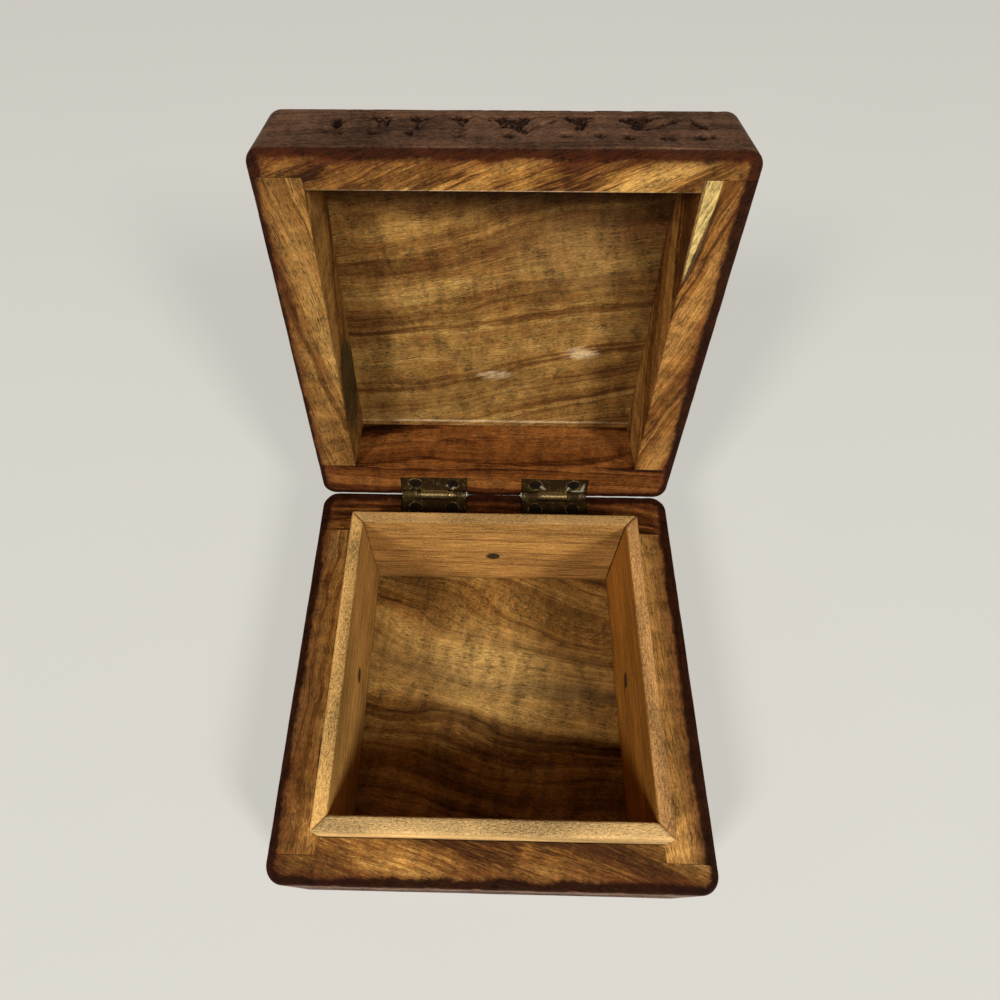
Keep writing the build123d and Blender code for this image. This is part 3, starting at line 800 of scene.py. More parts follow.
def carve_top(x, y, depth, seed, reach):
    """A sunk field round a flower, with a spray in each corner and a bud on each side."""
    carver = Carver(x, y)
    for petal in range(8):
        aim = petal * math.pi / 4
        carver.leaf((4.2 * math.cos(aim), 4.2 * math.sin(aim)), aim, 14.0, 6.2)
        aim += math.pi / 8
        carver.leaf((12.0 * math.cos(aim), 12.0 * math.sin(aim)), aim, 9.0, 4.3)
    carver.disc((0, 0), 3.4, 0.35)
    ring = np.linspace(0, 2 * math.pi, 97)
    for sign_x in (-1, 1):
        for sign_y in (-1, 1):
            corner = math.atan2(sign_y, sign_x)
            root = (sign_x * (reach[0] - 4.6), sign_y * (reach[1] - 4.6))
            for turn in (-0.768, 0.0, 0.768):
                carver.leaf(root, corner + math.pi + turn, 15.0, 5.8)
            for turn in (-0.38, 0.38):
                carver.leaf(root, corner + math.pi + turn, 17.5, 2.2)
            carver.disc(root, 1.7, 0.25)
    for side in range(4):
        turn = side * math.pi / 2
        out = reach[side % 2] - 4.0
        root = (out * math.cos(turn), out * math.sin(turn))
        carver.leaf(root, turn + math.pi, 9.5, 4.6)
        for offset in (-1.15, 1.15):
            carver.leaf(root, turn + math.pi + offset, 8.0, 2.6, 0.16 * np.sign(offset))
    carver.stem(np.stack([24.6 * np.cos(ring), 24.6 * np.sin(ring)], 1))
    inner = np.maximum(np.abs(x) - reach[0], np.abs(y) - reach[1])
    total, ground = carver.finish(depth, seed, fade(0.15, -0.25, inner))
    line = 0.40 * np.clip(1 - (np.abs(inner - 1.2) / 0.34) ** 2, 0, 1)
    return np.maximum(total * fade(0.8, 0.1, inner), line), ground


# ---------------------------------------------------------------- mesh making


def make_mesh(name, points, faces, place=BASE_PLACE, flat=()):
    """A mesh from points in millimetres; the faces whose numbers are given stay flat."""
    mesh = bpy.data.meshes.new(name)
    mesh.from_pydata((np.asarray(points, float) * MM).tolist(), [], faces)
    mesh.transform(place)
    smooth = np.ones(len(mesh.polygons), bool)
    smooth[list(flat)] = False
    mesh.polygons.foreach_set("use_smooth", smooth)
    mesh.update()
    return mesh


def keep_numbers(mesh, **numbers):
    """Keeps numbers on the mesh's vertices, for its finish to read."""
    for name, values in numbers.items():
        attribute = mesh.attributes.new(name, "FLOAT", "POINT")
        attribute.data.foreach_set("value", np.asarray(values, np.float32).ravel())


def stacked(name, rings, flat=None, down=False):
    """A closed solid through rings of points, anticlockwise seen from the last, or with down from the first."""
    count = len(rings[0])
    points = np.concatenate([np.asarray(ring, float) for ring in rings])
    faces = [list(range(count))[::-1], [len(points) - count + index for index in range(count)]]
    for start in range(0, len(points) - count, count):
        for index in range(count):
            after = (index + 1) % count
            faces.append([start + index, start + after, start + count + after, start + count + index])
    if down:
        faces = [face[::-1] for face in faces]
    return make_mesh(name, points, faces, flat=range(len(faces)) if flat is None else flat)


def prism(name, plan, levels):
    """An upright prism over a plan that runs anticlockwise; levels give (inset, height) upwards."""
    outlines = [inset(plan, amount) if amount else plan for amount, _ in levels]
    return stacked(name, [[(x, y, z) for x, y in outline] for outline, (_, z) in zip(outlines, levels)])


def extruded(name, profile, start, end):
    """A profile in y and z, drawn out along x."""
    return outward(stacked(name, [[(x, y, z) for y, z in profile] for x in (start, end)]))


def turned_solid(outline, count):
    """A closed turned solid from (radius, height) pairs, listed from the top down."""
    turns = np.linspace(0, 2 * math.pi, count, endpoint=False)
    rings = [[(radius * math.cos(turn), radius * math.sin(turn), z) for turn in turns] for radius, z in outline]
    return stacked("turned", rings, down=True)


def outward(mesh):
    """The same closed mesh with every face pointing out."""
    work = bmesh.new()
    work.from_mesh(mesh)
    bmesh.ops.recalc_face_normals(work, faces=work.faces)
    work.to_mesh(mesh)
    work.free()
    return mesh


def inset(plan, distance):
    """A plan's outline moved inwards."""
    plan = np.asarray(plan, float)
    moved = []
    for before, here, after in zip(np.roll(plan, 1, 0), plan, np.roll(plan, -1, 0)):
        first, second = here - before, after - here
        first, second = first / np.linalg.norm(first), second / np.linalg.norm(second)
        normal_a, normal_b = np.array((-first[1], first[0])), np.array((-second[1], second[0]))
        moved.append(here + (normal_a + normal_b) * distance / (1 + normal_a @ normal_b))
    return [tuple(point) for point in moved]


def rectangle(x_low, x_high, y_low, y_high):
    return [(x_low, y_low), (x_high, y_low), (x_high, y_high), (x_low, y_high)]


def worked(mesh, kind, settings, inputs=None):
    """A new mesh with one modifier worked into it; inputs are those of a modifier's own node tree."""
    work = bpy.data.objects.new("work", mesh)
    bpy.context.scene.collection.objects.link(work)
    modifier = work.modifiers.new(kind.lower(), kind)
    for key, value in settings.items():
        setattr(modifier, key, value)
    for key, value in (inputs or {}).items():
        modifier[key] = value
    graph = bpy.context.evaluated_depsgraph_get()
    graph.update()
    result = bpy.data.meshes.new_from_object(work.evaluated_get(graph))
    bpy.data.objects.remove(work)
    if not len(result.polygons):
        raise RuntimeError(f"{kind.lower()} on {mesh.name} left nothing")
    result.name = mesh.name
    return result


def combined(mesh, tool, operation="DIFFERENCE"):
    """One closed mesh cut by, kept within or joined to another, which is used up."""
    other = bpy.data.objects.new("tool", tool)
    bpy.context.scene.collection.objects.link(other)
    result = worked(mesh, "BOOLEAN", {"operation": operation, "solver": "MANIFOLD", "object": other})
    bpy.data.objects.remove(other)
    bpy.data.meshes.remove(tool)
    return result


def smoothed(mesh, angle):
    """A mesh shaded smooth, but for the edges sharper than an angle in degrees."""
    mesh.polygons.foreach_set("use_smooth", np.ones(len(mesh.polygons), bool))
    mesh.set_sharp_from_angle(angle=math.radians(angle))
    return mesh


def finished(name, mesh, material, body, nodes=()):
    """Puts a mesh on a body as a piece, in place of the CAD nodes named."""
    mesh.materials.clear()
    mesh.materials.append(material)
    piece = bpy.data.objects.new(name, mesh)
    mesh.name = name
    bpy.context.scene.collection.objects.link(piece)
    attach(piece, body)
    if nodes:
        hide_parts(*nodes)
    return piece


# ---------------------------------------------------------------- the carved blocks


class Walls:
    """Columns of points round the rounded plan of the box."""

    FACES = ((0, -1), (1, 0), (0, 1), (-1, 0))

    def __init__(self, radius, step):
        self.radius = radius
        straight = (HALF_X - radius, HALF_Y - radius)
        columns = []
        for face, normal in enumerate(self.FACES):
            run = (-normal[1], normal[0])
            half = straight[face % 2]
            level = [(share, 0.0, face) for share in np.linspace(-1, 1, int(round(2 * half / step)) + 1)]
            bends = np.linspace(0, math.pi / 2, int(round(radius * math.pi / 2 / step)) + 1)[1:-1]
            columns += [(normal, run, *column) for column in level + [(1.0, turn, -1) for turn in bends]]
        normals, runs, shares, turns, faces = (np.array(values) for values in zip(*columns))
        self.normal, self.run, self.share, self.face = normals.astype(float), runs.astype(float), shares, faces
        self.out = self.normal * np.cos(turns)[:, None] + self.run * np.sin(turns)[:, None]

    def ring(self, inset_by):
        """The columns' places in plan, moved in from the outer faces."""
        radius = max(self.radius - inset_by, 0.3)
        reach = np.array((HALF_X, HALF_Y)) - inset_by - radius
        core = self.normal * (np.abs(self.normal) @ reach)[:, None]
        core = core + self.run * (np.abs(self.run) @ reach * self.share)[:, None]
        return core + self.out * radius

    def along(self):
        """How far each column stands from the middle of its own face."""
        reach = np.array((HALF_X, HALF_Y)) - self.radius
        return np.abs(self.run) @ reach * self.share


def wall_profile(height, foot, head, step, over):
    """Rows from the lower edge to the upper: inset, height, and how upright and how level the face is."""

    def bend(radius, middle, start):
        turns = np.linspace(start, start + math.pi / 2, max(int(radius * 1.6 / step), 4) + 1)
        across, up = np.cos(turns), np.sin(turns)
        return zip(radius * (1 - across), middle + radius * up, across, up)

    wall = np.linspace(foot, height - head, int((height - foot - head) / step) + 1)[1:-1]
    return np.array([
        *bend(foot, foot, -math.pi / 2),
        *((0.0, z, 1.0, 0.0) for z in wall),
        *bend(head, height - head, 0),
        *((inset_by, height, 0.0, 1.0) for inset_by in np.arange(head + 1.0, over, 1.0)),
    ])


class Block:
    """The base or the lid as one solid, before it is cut up into its boards."""

    # Between the hinges the back boards' arrises stay sharper: how much, and how far from the middle in mm
    KEEN, KEEN_ENDS = 0.6, (8.3, 7.2)

    def __init__(self, corner, height, foot, head, over, bands, seed, rim):
        shape = bpy.context.scene.keepsake_shape
        step, depth = shape.grid_step / MM, shape.carving_depth / MM
        walls = Walls(corner, step)
        rows = wall_profile(height, foot, head, step, over)
        count, levels = len(walls.face), len(rows)
        plan = np.array([walls.ring(row[0]) for row in rows])
        heights = np.broadcast_to(rows[:, 1, None, None], (levels, count, 1))
        upright, rise = rows[:, 2, None], rows[:, 3, None]
        along = walls.along()
        keen = self.KEEN * fade(*self.KEEN_ENDS, np.abs(along)) * (walls.face == 2) * (rise * rim > 0)
        plan = plan + walls.out * (rows[:, 0, None] * keen)[..., None]
        heights = heights + ((height if rim > 0 else 0) - heights) * keen[..., None]
        points = np.concatenate([plan, heights], 2)
        cut, ground = np.zeros((2, levels, count))
        for face, band in enumerate(bands):
            here = np.flatnonzero(walls.face == face)
            u = np.broadcast_to(along[here], (levels, len(here))).ravel()
            v = np.broadcast_to(rows[:, 1, None], (levels, len(here))).ravel()
            deep, punch = band["carve"](u, v, band, depth)
            mask = fade(0.5, 1.0, upright)
            cut[:, here] = deep.reshape(levels, -1) * mask
            ground[:, here] = punch.reshape(levels, -1) * mask
        spots = points.reshape(-1, 3)
        uneven = np.clip(0.045 + 0.035 * ripples(spots, seed, 24.0), 0.02, None).reshape(levels, count)
        slant = np.abs(rise)
        arris = fade(0.0, 0.5, slant) * fade(1.0, 0.8, slant)
        bruise = np.clip(ripples(spots, seed + 3, 6.0) - 0.2, 0, 1).reshape(levels, count) * 0.22
        inward = np.clip(cut + uneven + bruise * arris, 0, None)[..., None]
        sideways = walls.out[None] * upright[..., None] * (inward + 0.05)
        upward = np.broadcast_to(rise[..., None], (levels, count, 1)) * inward
        points = points - np.concatenate([sideways, upward], 2)
        index = np.arange(levels * count).reshape(levels, count)
        after = np.roll(index, -1, 1)
        quads = np.stack([index[:-1], after[:-1], after[1:], index[1:]], -1).reshape(-1, 4)
        faces = quads.tolist() + [index[0, ::-1].tolist(), index[-1].tolist()]
        self.mesh = make_mesh("block", points.reshape(-1, 3), faces, flat=(-2, -1))
        outer = np.broadcast_to(fade(0.75, 0.55, rise * rim), (levels, count))
        keep_numbers(self.mesh, carving=np.clip(cut, 0, 1.2), ground=ground, outer=outer)

    def board(self, plan, levels, cutters, place):
        """One board: what a plan keeps of the block, less its rabbet and mortises."""
        mesh = combined(self.mesh.copy(), prism("plan", plan, levels), "INTERSECT")
        for cutter in cutters:
            mesh = combined(mesh, cutter)
        mesh.transform(place)
        return mesh


# ---------------------------------------------------------------- joinery

BODIES = {"base": BASE_PLACE, "lid": LID_PLACE}


def plans(prefix, place):
    """The plans of the four boards, read from the CAD boards."""
    gap = bpy.context.scene.keepsake_shape.joint_gap / MM
    _, front_high = node_box(f"{prefix}_front_board", place)
    side_low, side_high = node_box(f"{prefix}_left_board", place)
    side_in, lip, back_in = -side_high[0], side_low[1], side_high[1]
    far = HALF_X + 2.0
    tongue = side_in - gap
    front = [(-far, -far), (far, -far), (far, lip - gap), (tongue, lip - gap)]
    front += [(tongue, front_high[1]), (-tongue, front_high[1]), (-tongue, lip - gap), (-far, lip - gap)]
    return {
        "front": front,
        "left": rectangle(-far, -side_in, lip + gap, back_in - gap),
        "right": rectangle(side_in, far, lip + gap, back_in - gap),
        "back": rectangle(-far, far, back_in + gap, far),
    }


def recess(panel, place, low, high):
    """The rabbet that the panel or the floor lies in, as a solid to cut away."""
    (x_low, y_low, _), (x_high, y_high, _) = node_box(panel, place)
    plan = rectangle(x_low - PANEL_SPARE, x_high + PANEL_SPARE, y_low - PANEL_SPARE, y_high + PANEL_SPARE)
    return prism("recess", plan, [(0, low), (0, high)])


def hinge_profile(profile, body):
    """A profile drawn about the base's hinge axis, turned over for the lid, and put at its hinge."""
    return [(HINGE_Y + a, HINGE_Z[body] + b * UP[body]) for a, b in profile]


def arc(radius, start, end, count):
    return [(radius * math.cos(turn), radius * math.sin(turn)) for turn in np.linspace(start, end, count)]


def mortise(centre, half, body):
    """What a leaf and half its barrel take out of a back board's rim."""
    far, beyond = -LEAF["depth"] - MORTISE_SPARE, 4.0
    radius = LEAF["barrel"] + LEAF["notch"]
    side = math.acos(LEAF["barrel"] / radius)
    profile = [(far, -LEAF["barrel"]), *arc(radius, 1.5 * math.pi - side, 1.5 * math.pi + side, 11)]
    profile += [(beyond, -LEAF["barrel"]), (beyond, beyond), (far, beyond)]
    ends = centre - half - MORTISE_SPARE, centre + half + MORTISE_SPARE
    return extruded("mortise", hinge_profile(profile, body), *ends)


BANDS = {
    "base": [
        {
            "carve": carve_vine, "low": 4.6, "high": 25.6, "start": start, "end": -start, "bends": 5, "halo": 1.7,
            "seed": seed,
        }
        for seed, start in ((11, -42.0), (12, -41.0), (13, -41.0), (14, -41.0))
    ],
    "lid": [
        {
            "carve": carve_lobes, "foot": 8.6, "rise": 7.7, "seed": 21,
            "lobes": [(-29.8, 8.2), (-21.4, 7.0), (-12.8, 8.6), (-4.2, 7.8), (9.6, 11.4), (21.4, 9.6), (34.2, 11.0)],
            "cuts": [
                ((-34.4, 15.8), (-33.7, 9.4), 1.3, 1.0, 0.1), ((-35.4, 10.0), (-36.0, 6.8), 0.7, 0.5, 0.1),
                ((-33.0, 9.4), (-32.2, 6.4), 0.8, 0.45, -0.1), ((-37.4, 11.6), (-34.6, 11.8), 0.4, 0.3, 0.0),
                ((-26.2, 15.4), (-23.8, 13.0), 0.8, 0.6, 0.1), ((-23.6, 15.6), (-24.0, 10.8), 0.7, 0.6, 0.1),
                ((-22.8, 14.4), (-20.2, 15.8), 0.8, 0.65, -0.1), ((-4.4, 16.2), (-2.0, 14.0), 0.8, 0.7, 0.1),
                ((-1.4, 13.6), (0.8, 14.9), 0.5, 0.4, -0.1), ((0.2, 12.8), (2.4, 14.6), 0.5, 0.4, -0.1),
                ((3.0, 7.6), (4.8, 11.0), 0.8, 0.7, 0.1), ((3.9, 7.0), (6.2, 10.4), 0.8, 0.7, 0.1),
                ((6.0, 11.0), (11.6, 16.0), 0.7, 0.65, -0.7), ((28.0, 9.4), (33.0, 12.2), 0.9, 0.8, 0.1),
                ((31.6, 11.8), (37.4, 15.8), 1.0, 0.9, 0.1), ((24.0, 14.9), (26.8, 13.0), 0.8, 0.7, -0.2),
                ((38.8, 16.0), (41.6, 9.4), 1.0, 0.8, -0.4), ((-9.6, 7.0), (-7.2, 10.2), 0.6, 0.4, 0.2),
                ((14.6, 9.2), (16.2, 12.6), 0.8, 0.5, 0.2), ((-17.4, 9.0), (-16.2, 12.4), 0.8, 0.6, 0.2),
            ],
            "scoops": [
                ((-26.0, 7.4), 1.3, 1.3), ((-18.8, 7.6), 1.1, 1.8), ((-8.8, 6.4), 1.2, 1.2), ((1.2, 6.4), 1.5, 1.8),
                ((12.6, 6.6), 1.5, 1.5), ((19.4, 6.8), 1.5, 1.8), ((24.8, 6.0), 1.4, 1.9), ((32.6, 5.8), 1.8, 1.7),
                ((39.0, 6.0), 1.8, 1.7), ((41.6, 6.4), 0.6, 1.4),
            ],
        },
        *(lobe_band(seed, -38.0, 40.0) for seed in (22, 23, 24)),
    ],
}

# How each board was sawn: the turn of its grain in degrees, its heart line, its bands, its colour and its marks
BOARDS = {
    "base_front": dict(
        turn=19, shift=(310, 20, 5), heart=(34, 60), figure=1.3, streaks=0.9, cast=(1.20, 1.24, 1.24), glow=2.8,
        marks=[mark((42.1, -42.0, 31.0), (2.0, 2.7, 3.0), (0.42, 0.25, 0.10), ragged=0.9)],
    ),
    "base_back": dict(
        turn=4, shift=(520, 60, 9), heart=(20, 70), shade=0.22, figure=1.2, streaks=1.5, cast=(0.8, 0.58, 0.5),
        stain=2.6,
    ),
    "base_left": dict(
        turn=-86, shift=(120, 45, 2), heart=(44, 52), figure=2.0, streaks=1.1, ripple=6.0, cast=(1.05, 1.0, 0.95),
        glow=6.5, russet=0.8,
    ),
    "base_right": dict(
        turn=-94, shift=(700, 15, 7), heart=(26, 66), shade=0.02, figure=2.2, streaks=1.5, cast=(1.05, 0.95, 0.85),
        stain=2.9, glow=5.5, russet=0.8,
    ),
    "lid_front": dict(
        turn=22, shift=(40, 5, 3), heart=(30, 62), figure=2.3, streaks=1.4, cast=(1.12, 1.09, 1.0), stain=2.5, seep=1.0,
        marks=[mark((0.0, LIP + 0.05, 0.0), (39.0, 0.28, 0.6), (0.66, 0.48, 0.27), 0.6, soft=0.5)],
    ),
    "lid_back": dict(
        turn=-3, shift=(260, 35, 8), heart=(30, 40), shade=0.14, figure=1.5, cast=(0.56, 0.37, 0.30), stain=1.8,
    ),
    "lid_left": dict(
        turn=-79, shift=(880, 10, 1), heart=(50, 60), figure=0.45, shade=0.02, streaks=0.7, cast=(0.75, 0.72, 0.69),
        stain=1.2, pores=0.8,
        marks=[mark((-40.4, 17.0, 9.5), (1.6, 15.5, 8.6), (0.050, 0.036, 0.012), 0.88, ragged=1.4)],
    ),
    # A wedge of sapwood, the dark streak beside it and the shaded wall below
    "lid_right": dict(
        turn=69, shift=(430, 25, 6), heart=(28, 48), shade=-0.03, figure=0.9, streaks=0.9, cast=(0.79, 0.68, 0.60),
        stain=2.6,
        marks=[
            mark((41.9, -46.0, 0.0), (1.9, 23.0, 0.9), (0.58, 0.40, 0.135), 0.95, soft=0.07, ragged=0.35, turn=3),
            mark((42.4, -31.0, 0.0), (0.5, 10.5, 0.9), (0.05, 0.02, 0.006), 0.85, ragged=0.9, turn=9.5),
            mark((39.6, -41.0, -1.0), (1.0, 27.0, 12.0), (0.10, 0.032, 0.007), 0.7, soft=0.06, ragged=0.25),
        ],
    ),
}
SCUFF = (0.66, 0.47, 0.24)


class Maker:
    """What every step of the making has in common."""

    bl_options = {"REGISTER", "UNDO"}


class BoardMaker(Maker):
    """What the base's and the lid's boards have in common."""

    BEVEL = 0.14
    BEYOND = 2.0

    def make(self, body, block, levels, panel, recess_span):
        place = BODIES[body]
        for side, plan in plans(body, place).items():
            name = f"{body}_{side}_board"
            cutters = [recess(panel, place, *recess_span)]
            if side == "back":
                cutters += [mortise(*hinge, body) for hinge in HINGES.values()]
            mesh = block.board(plan, levels, cutters, place)
            material = timber(f"{name}_wood", place, **BOARDS[f"{body}_{side}"])
            finished(f"{name}_carved", mesh, material, body, (name,))
        bpy.data.meshes.remove(block.mesh)
        return {"FINISHED"}


class KEEPSAKE_OT_base_boards(BoardMaker, bpy.types.Operator):
    """Carve the four boards of the base and cut their rabbets and mortises"""

    bl_idname = "keepsake.base_boards"
    bl_label = "Base Boards"

    def execute(self, context):
        shape = context.scene.keepsake_shape
        corner, foot, head = shape.base_corner_round / MM, shape.foot_round / MM, shape.rim_round / MM
        block = Block(corner, BASE_HEIGHT, foot, head, 0.0, BANDS["base"], 31, UP["base"])
        bevel = BASE_HEIGHT - self.BEVEL
        levels = [(0, -self.BEYOND), (0, bevel), (1.0, bevel + 1.0)]
        floor_top = node_box("base_floor")[1][2]
        return self.make("base", block, levels, "base_floor", (-self.BEYOND, floor_top))


class KEEPSAKE_OT_lid_boards(BoardMaker, bpy.types.Operator):
    """Carve the four boards of the lid and cut their rabbets and mortises"""

    bl_idname = "keepsake.lid_boards"
    bl_label = "Lid Boards"

    def execute(self, context):
        shape = context.scene.keepsake_shape
        corner, foot, head = shape.lid_corner_round / MM, shape.rim_round / MM, shape.crown_round / MM
        block = Block(corner, LID_HEIGHT, foot, head, 10.5, BANDS["lid"], 47, UP["lid"])
        top = LID_HEIGHT + self.BEYOND
        levels = [(1.0, self.BEVEL - 1.0), (0, self.BEVEL), (0, top)]
        panel_low = node_box("lid_top_panel", LID_PLACE)[0][2]
        return self.make("lid", block, levels, "lid_top_panel", (panel_low, top))


class KEEPSAKE_OT_panels(Maker, bpy.types.Operator):
    """Carve the lid's top panel and finish the floor of the base"""

    bl_idname = "keepsake.panels"
    bl_label = "Top Panel and Floor"

    GRID = 0.4
    FIELD = (40.0, 38.8)

    def execute(self, context):
        low, high = node_box("lid_top_panel", LID_PLACE)
        mesh = self.carved(low, high, context.scene.keepsake_shape.carving_depth / MM)
        z, foot = low[2], low[1] + 81.4
        marks = [
            # Painted shade: a broad darkening over the panel's left, towards its back board
            mark((-20.0, 22.0, z), (24.0, 16.0, 1.0), (0.13, 0.065, 0.015), 0.3, soft=0.9),
            # Painted light: a broad pale pool on the panel's right, towards its front board
            mark((20.0, -18.0, z), (14.0, 8.0, 1.0), (0.46, 0.27, 0.08), 0.45, soft=0.9),
            # Painted shadow cast by the lid's front board across the top of the panel
            mark((6.0, -38.5, z), (46.0, 9.0, 1.0), (0.020, 0.008, 0.002), 0.93, soft=0.7),
            # Painted shadow cast by the lid's right board down the panel's right side
            mark((41.0, -12.0, z), (7.0, 34.0, 1.0), (0.055, 0.024, 0.006), 0.5, soft=0.8),
            mark((24.0, 11.6, z), (3.8, 1.8, 1.0), SCUFF, 0.85, soft=0.35, ragged=4.8),
            mark((-0.3, 19.2, z), (4.2, 1.3, 1.0), SCUFF, 0.85, soft=0.35, ragged=4.8),
            mark((0.0, foot, z), (36.0, 0.45, 1.0), SCUFF, 0.85, soft=0.35, ragged=2.4),
            mark((39.9, -14.0, z), (0.35, 17.0, 1.0), (0.060, 0.014, 0.004), 0.8, ragged=3.6, turn=-1.5),
        ]
        material = timber(
            "panel_wood", LID_PLACE, turn=9, shift=(150, 40, 30), heart=(60, 22), sway=16.0, ripple=3.0, band=0.13,
            line=0.6, figure=0.55, streaks=0.75, shade=-0.02, cast=(0.93, 0.99, 0.98), marks=marks,
        )
        finished("lid_top_panel_carved", mesh, material, "lid", ("lid_top_panel",))
        marks = [
            # Painted light: a pale pool across the middle of the floor, where both lamps reach
            mark((-4.0, 6.0, 6.0), (30.0, 10.0, 5.0), (0.60, 0.37, 0.115), 0.5, soft=0.9, ragged=1.6, turn=-10),
            mark((-22.0, 31.0, 6.0), (17.0, 5.0, 5.0), (0.070, 0.028, 0.007), 0.6, soft=0.8, ragged=2.4, turn=-26),
            mark((22.0, 24.0, 6.0), (22.0, 4.0, 5.0), (0.080, 0.034, 0.008), 0.5, soft=0.8, ragged=2.4, turn=-22),
        ]
        frame["nodes"]["base_floor"].material_slots[0].material = timber(
            "floor_wood", BASE_PLACE, turn=14, shift=(90, 60, 12), heart=(40, 16), sway=30.0, ripple=3.5, line=0.7,
            figure=0.85, streaks=0.6, cast=(0.98, 1.0, 0.94), marks=marks,
        )
        return {"FINISHED"}

    def carved(self, low, high, depth):
        """The panel as a grid of carved points over a flat underside."""
        columns, lines = (np.linspace(low[k], high[k], int((high[k] - low[k]) / self.GRID)) for k in (0, 1))
        x, y = (grid.ravel() for grid in np.meshgrid(columns, lines))
        cut, ground = carve_top(x, y, depth, 61, self.FIELD)
        z = high[2] - np.clip(cut + 0.06 + 0.03 * ripples(np.column_stack([x, y]), 5, 24.0), 0, None)
        under = [(*corner, low[2]) for corner in rectangle(low[0], high[0], low[1], high[1])]
        index = np.arange(len(x)).reshape(len(lines), len(columns))
        quads = np.stack([index[:-1, :-1], index[:-1, 1:], index[1:, 1:], index[1:, :-1]], -1)
        foot = len(x)
        faces = quads.reshape(-1, 4).tolist()
        for side, edge in enumerate([index[0], index[:, -1], index[-1, ::-1], index[::-1, 0]]):
            faces.append([foot + side, foot + (side + 1) % 4, *edge[::-1].tolist()])
        faces.append([foot + 3, foot + 2, foot + 1, foot])
        mesh = make_mesh("panel", np.vstack([np.column_stack([x, y, z]), under]), faces, LID_PLACE, range(-5, 0))
        numbers = {"carving": np.clip(cut, 0, 1.2), "ground": ground, "outer": np.ones(foot)}
        keep_numbers(mesh, **{name: np.append(values, [0] * 4) for name, values in numbers.items()})
        return mesh


class KEEPSAKE_OT_lining(Maker, bpy.types.Operator):
    """Mitre the four lining strips, ease their tops and sink their nail holes"""

    bl_idname = "keepsake.lining"
    bl_label = "Lining"

    # Turn about the box, how far each end of a strip falls short in mm, and its colours' cast
    STRIPS = {
        "front": (0, (0.05, 0.05), (1.0, 1.0, 1.0), (1.08, 1.1, 1.15)),
        # The right strip's darker, redder cast is painted shade
        "right": (90, (0.05, 0.07), (0.82, 0.66, 0.38), (0.97, 0.80, 0.70)),
        "back": (180, (0.28, 0.10), (1.0, 1.0, 1.0), (0.7, 0.65, 0.6)),
        "left": (-90, (0.12, 0.05), (1.0, 1.05, 1.0), (1.25, 1.15, 0.95)),
    }

    EASE, FOOT, STATIONS = 0.7, 0.12, 97

    def execute(self, context):
        for seed, (side, (turn, short, cast, top)) in enumerate(self.STRIPS.items()):
            name = f"lining_{side}"
            low, high = node_box(name)
            middle = (low + high) / 2
            thick, run = sorted((high[0] - low[0], high[1] - low[1]))
            spin = Matrix.Rotation(math.radians(turn), 4, "Z")
            start = Vector((middle[0], middle[1], 0)) - spin @ Vector((0, thick / 2, 0))
            mesh = self.strip(run, thick, low[2], high[2], short, seed)
            mesh.transform(Matrix.Translation(start * MM) @ spin)
            nail = start + spin @ Vector((0, thick, NAIL["height"]))
            shift = (seed * 140.0, seed * 17.0, seed * 9.0)
            material = lining_wood(f"{name}_wood", abs(turn) % 180, shift, cast, top, tuple(nail))
            finished(f"{name}_strip", mesh, material, "base", (name,))
        return {"FINISHED"}

    def strip(self, run, thick, low, high, short, seed):
        """A strip along x, its outer face at y = 0, with a nail hole in its inner face."""
        ease, foot = self.EASE, self.FOOT
        section = [(0, low + foot), (foot, low), (thick - foot, low), (thick, low + foot)]
        for centre, start in ((thick - ease, 0), (ease, math.pi / 2)):
            section += [(centre + y, high - ease + z) for y, z in arc(ease, start, start + math.pi / 2, 6)]
        y, z = np.array(section).T
        upper = z > high - 1
        rings = []
        for share in np.linspace(-1, 1, self.STATIONS):
            end = short[0] if share < 0 else short[1]
            x = share * (run / 2 - y - end * abs(share))
            wave = 0.5 + 0.5 * ripples(np.stack([x + seed * 200], 1), seed + 3, 30.0, 8)
            worn = z - np.clip(wave, 0, 1) * 0.12 * upper
            round_end = np.clip((abs(share) - 0.975) / 0.025, 0, 1) ** 2 * 0.35
            rings.append(np.column_stack([x, y, worn - round_end * upper]))
        head = NAIL["head"] + FIT
        hole = turned_solid([(head, 0.5), (head, -NAIL["sink"] - NAIL["thick"])], 28)
        spot = Matrix.Translation(Vector((0, thick, NAIL["height"])) * MM)
        hole.transform(spot @ Matrix.Rotation(-math.pi / 2, 4, "X"))
        mesh = combined(outward(stacked("strip", rings, flat=(0, 1))), hole)
        mesh.set_sharp_from_angle(angle=math.radians(35))
        return mesh


def screw_places(centre, z):
    """Where the two screws of a leaf go, in mm."""
    return [Vector((centre + offset * SCREW["spacing"], HINGE_Y - SCREW["setback"], z)) for offset in (-0.5, 0.5)]


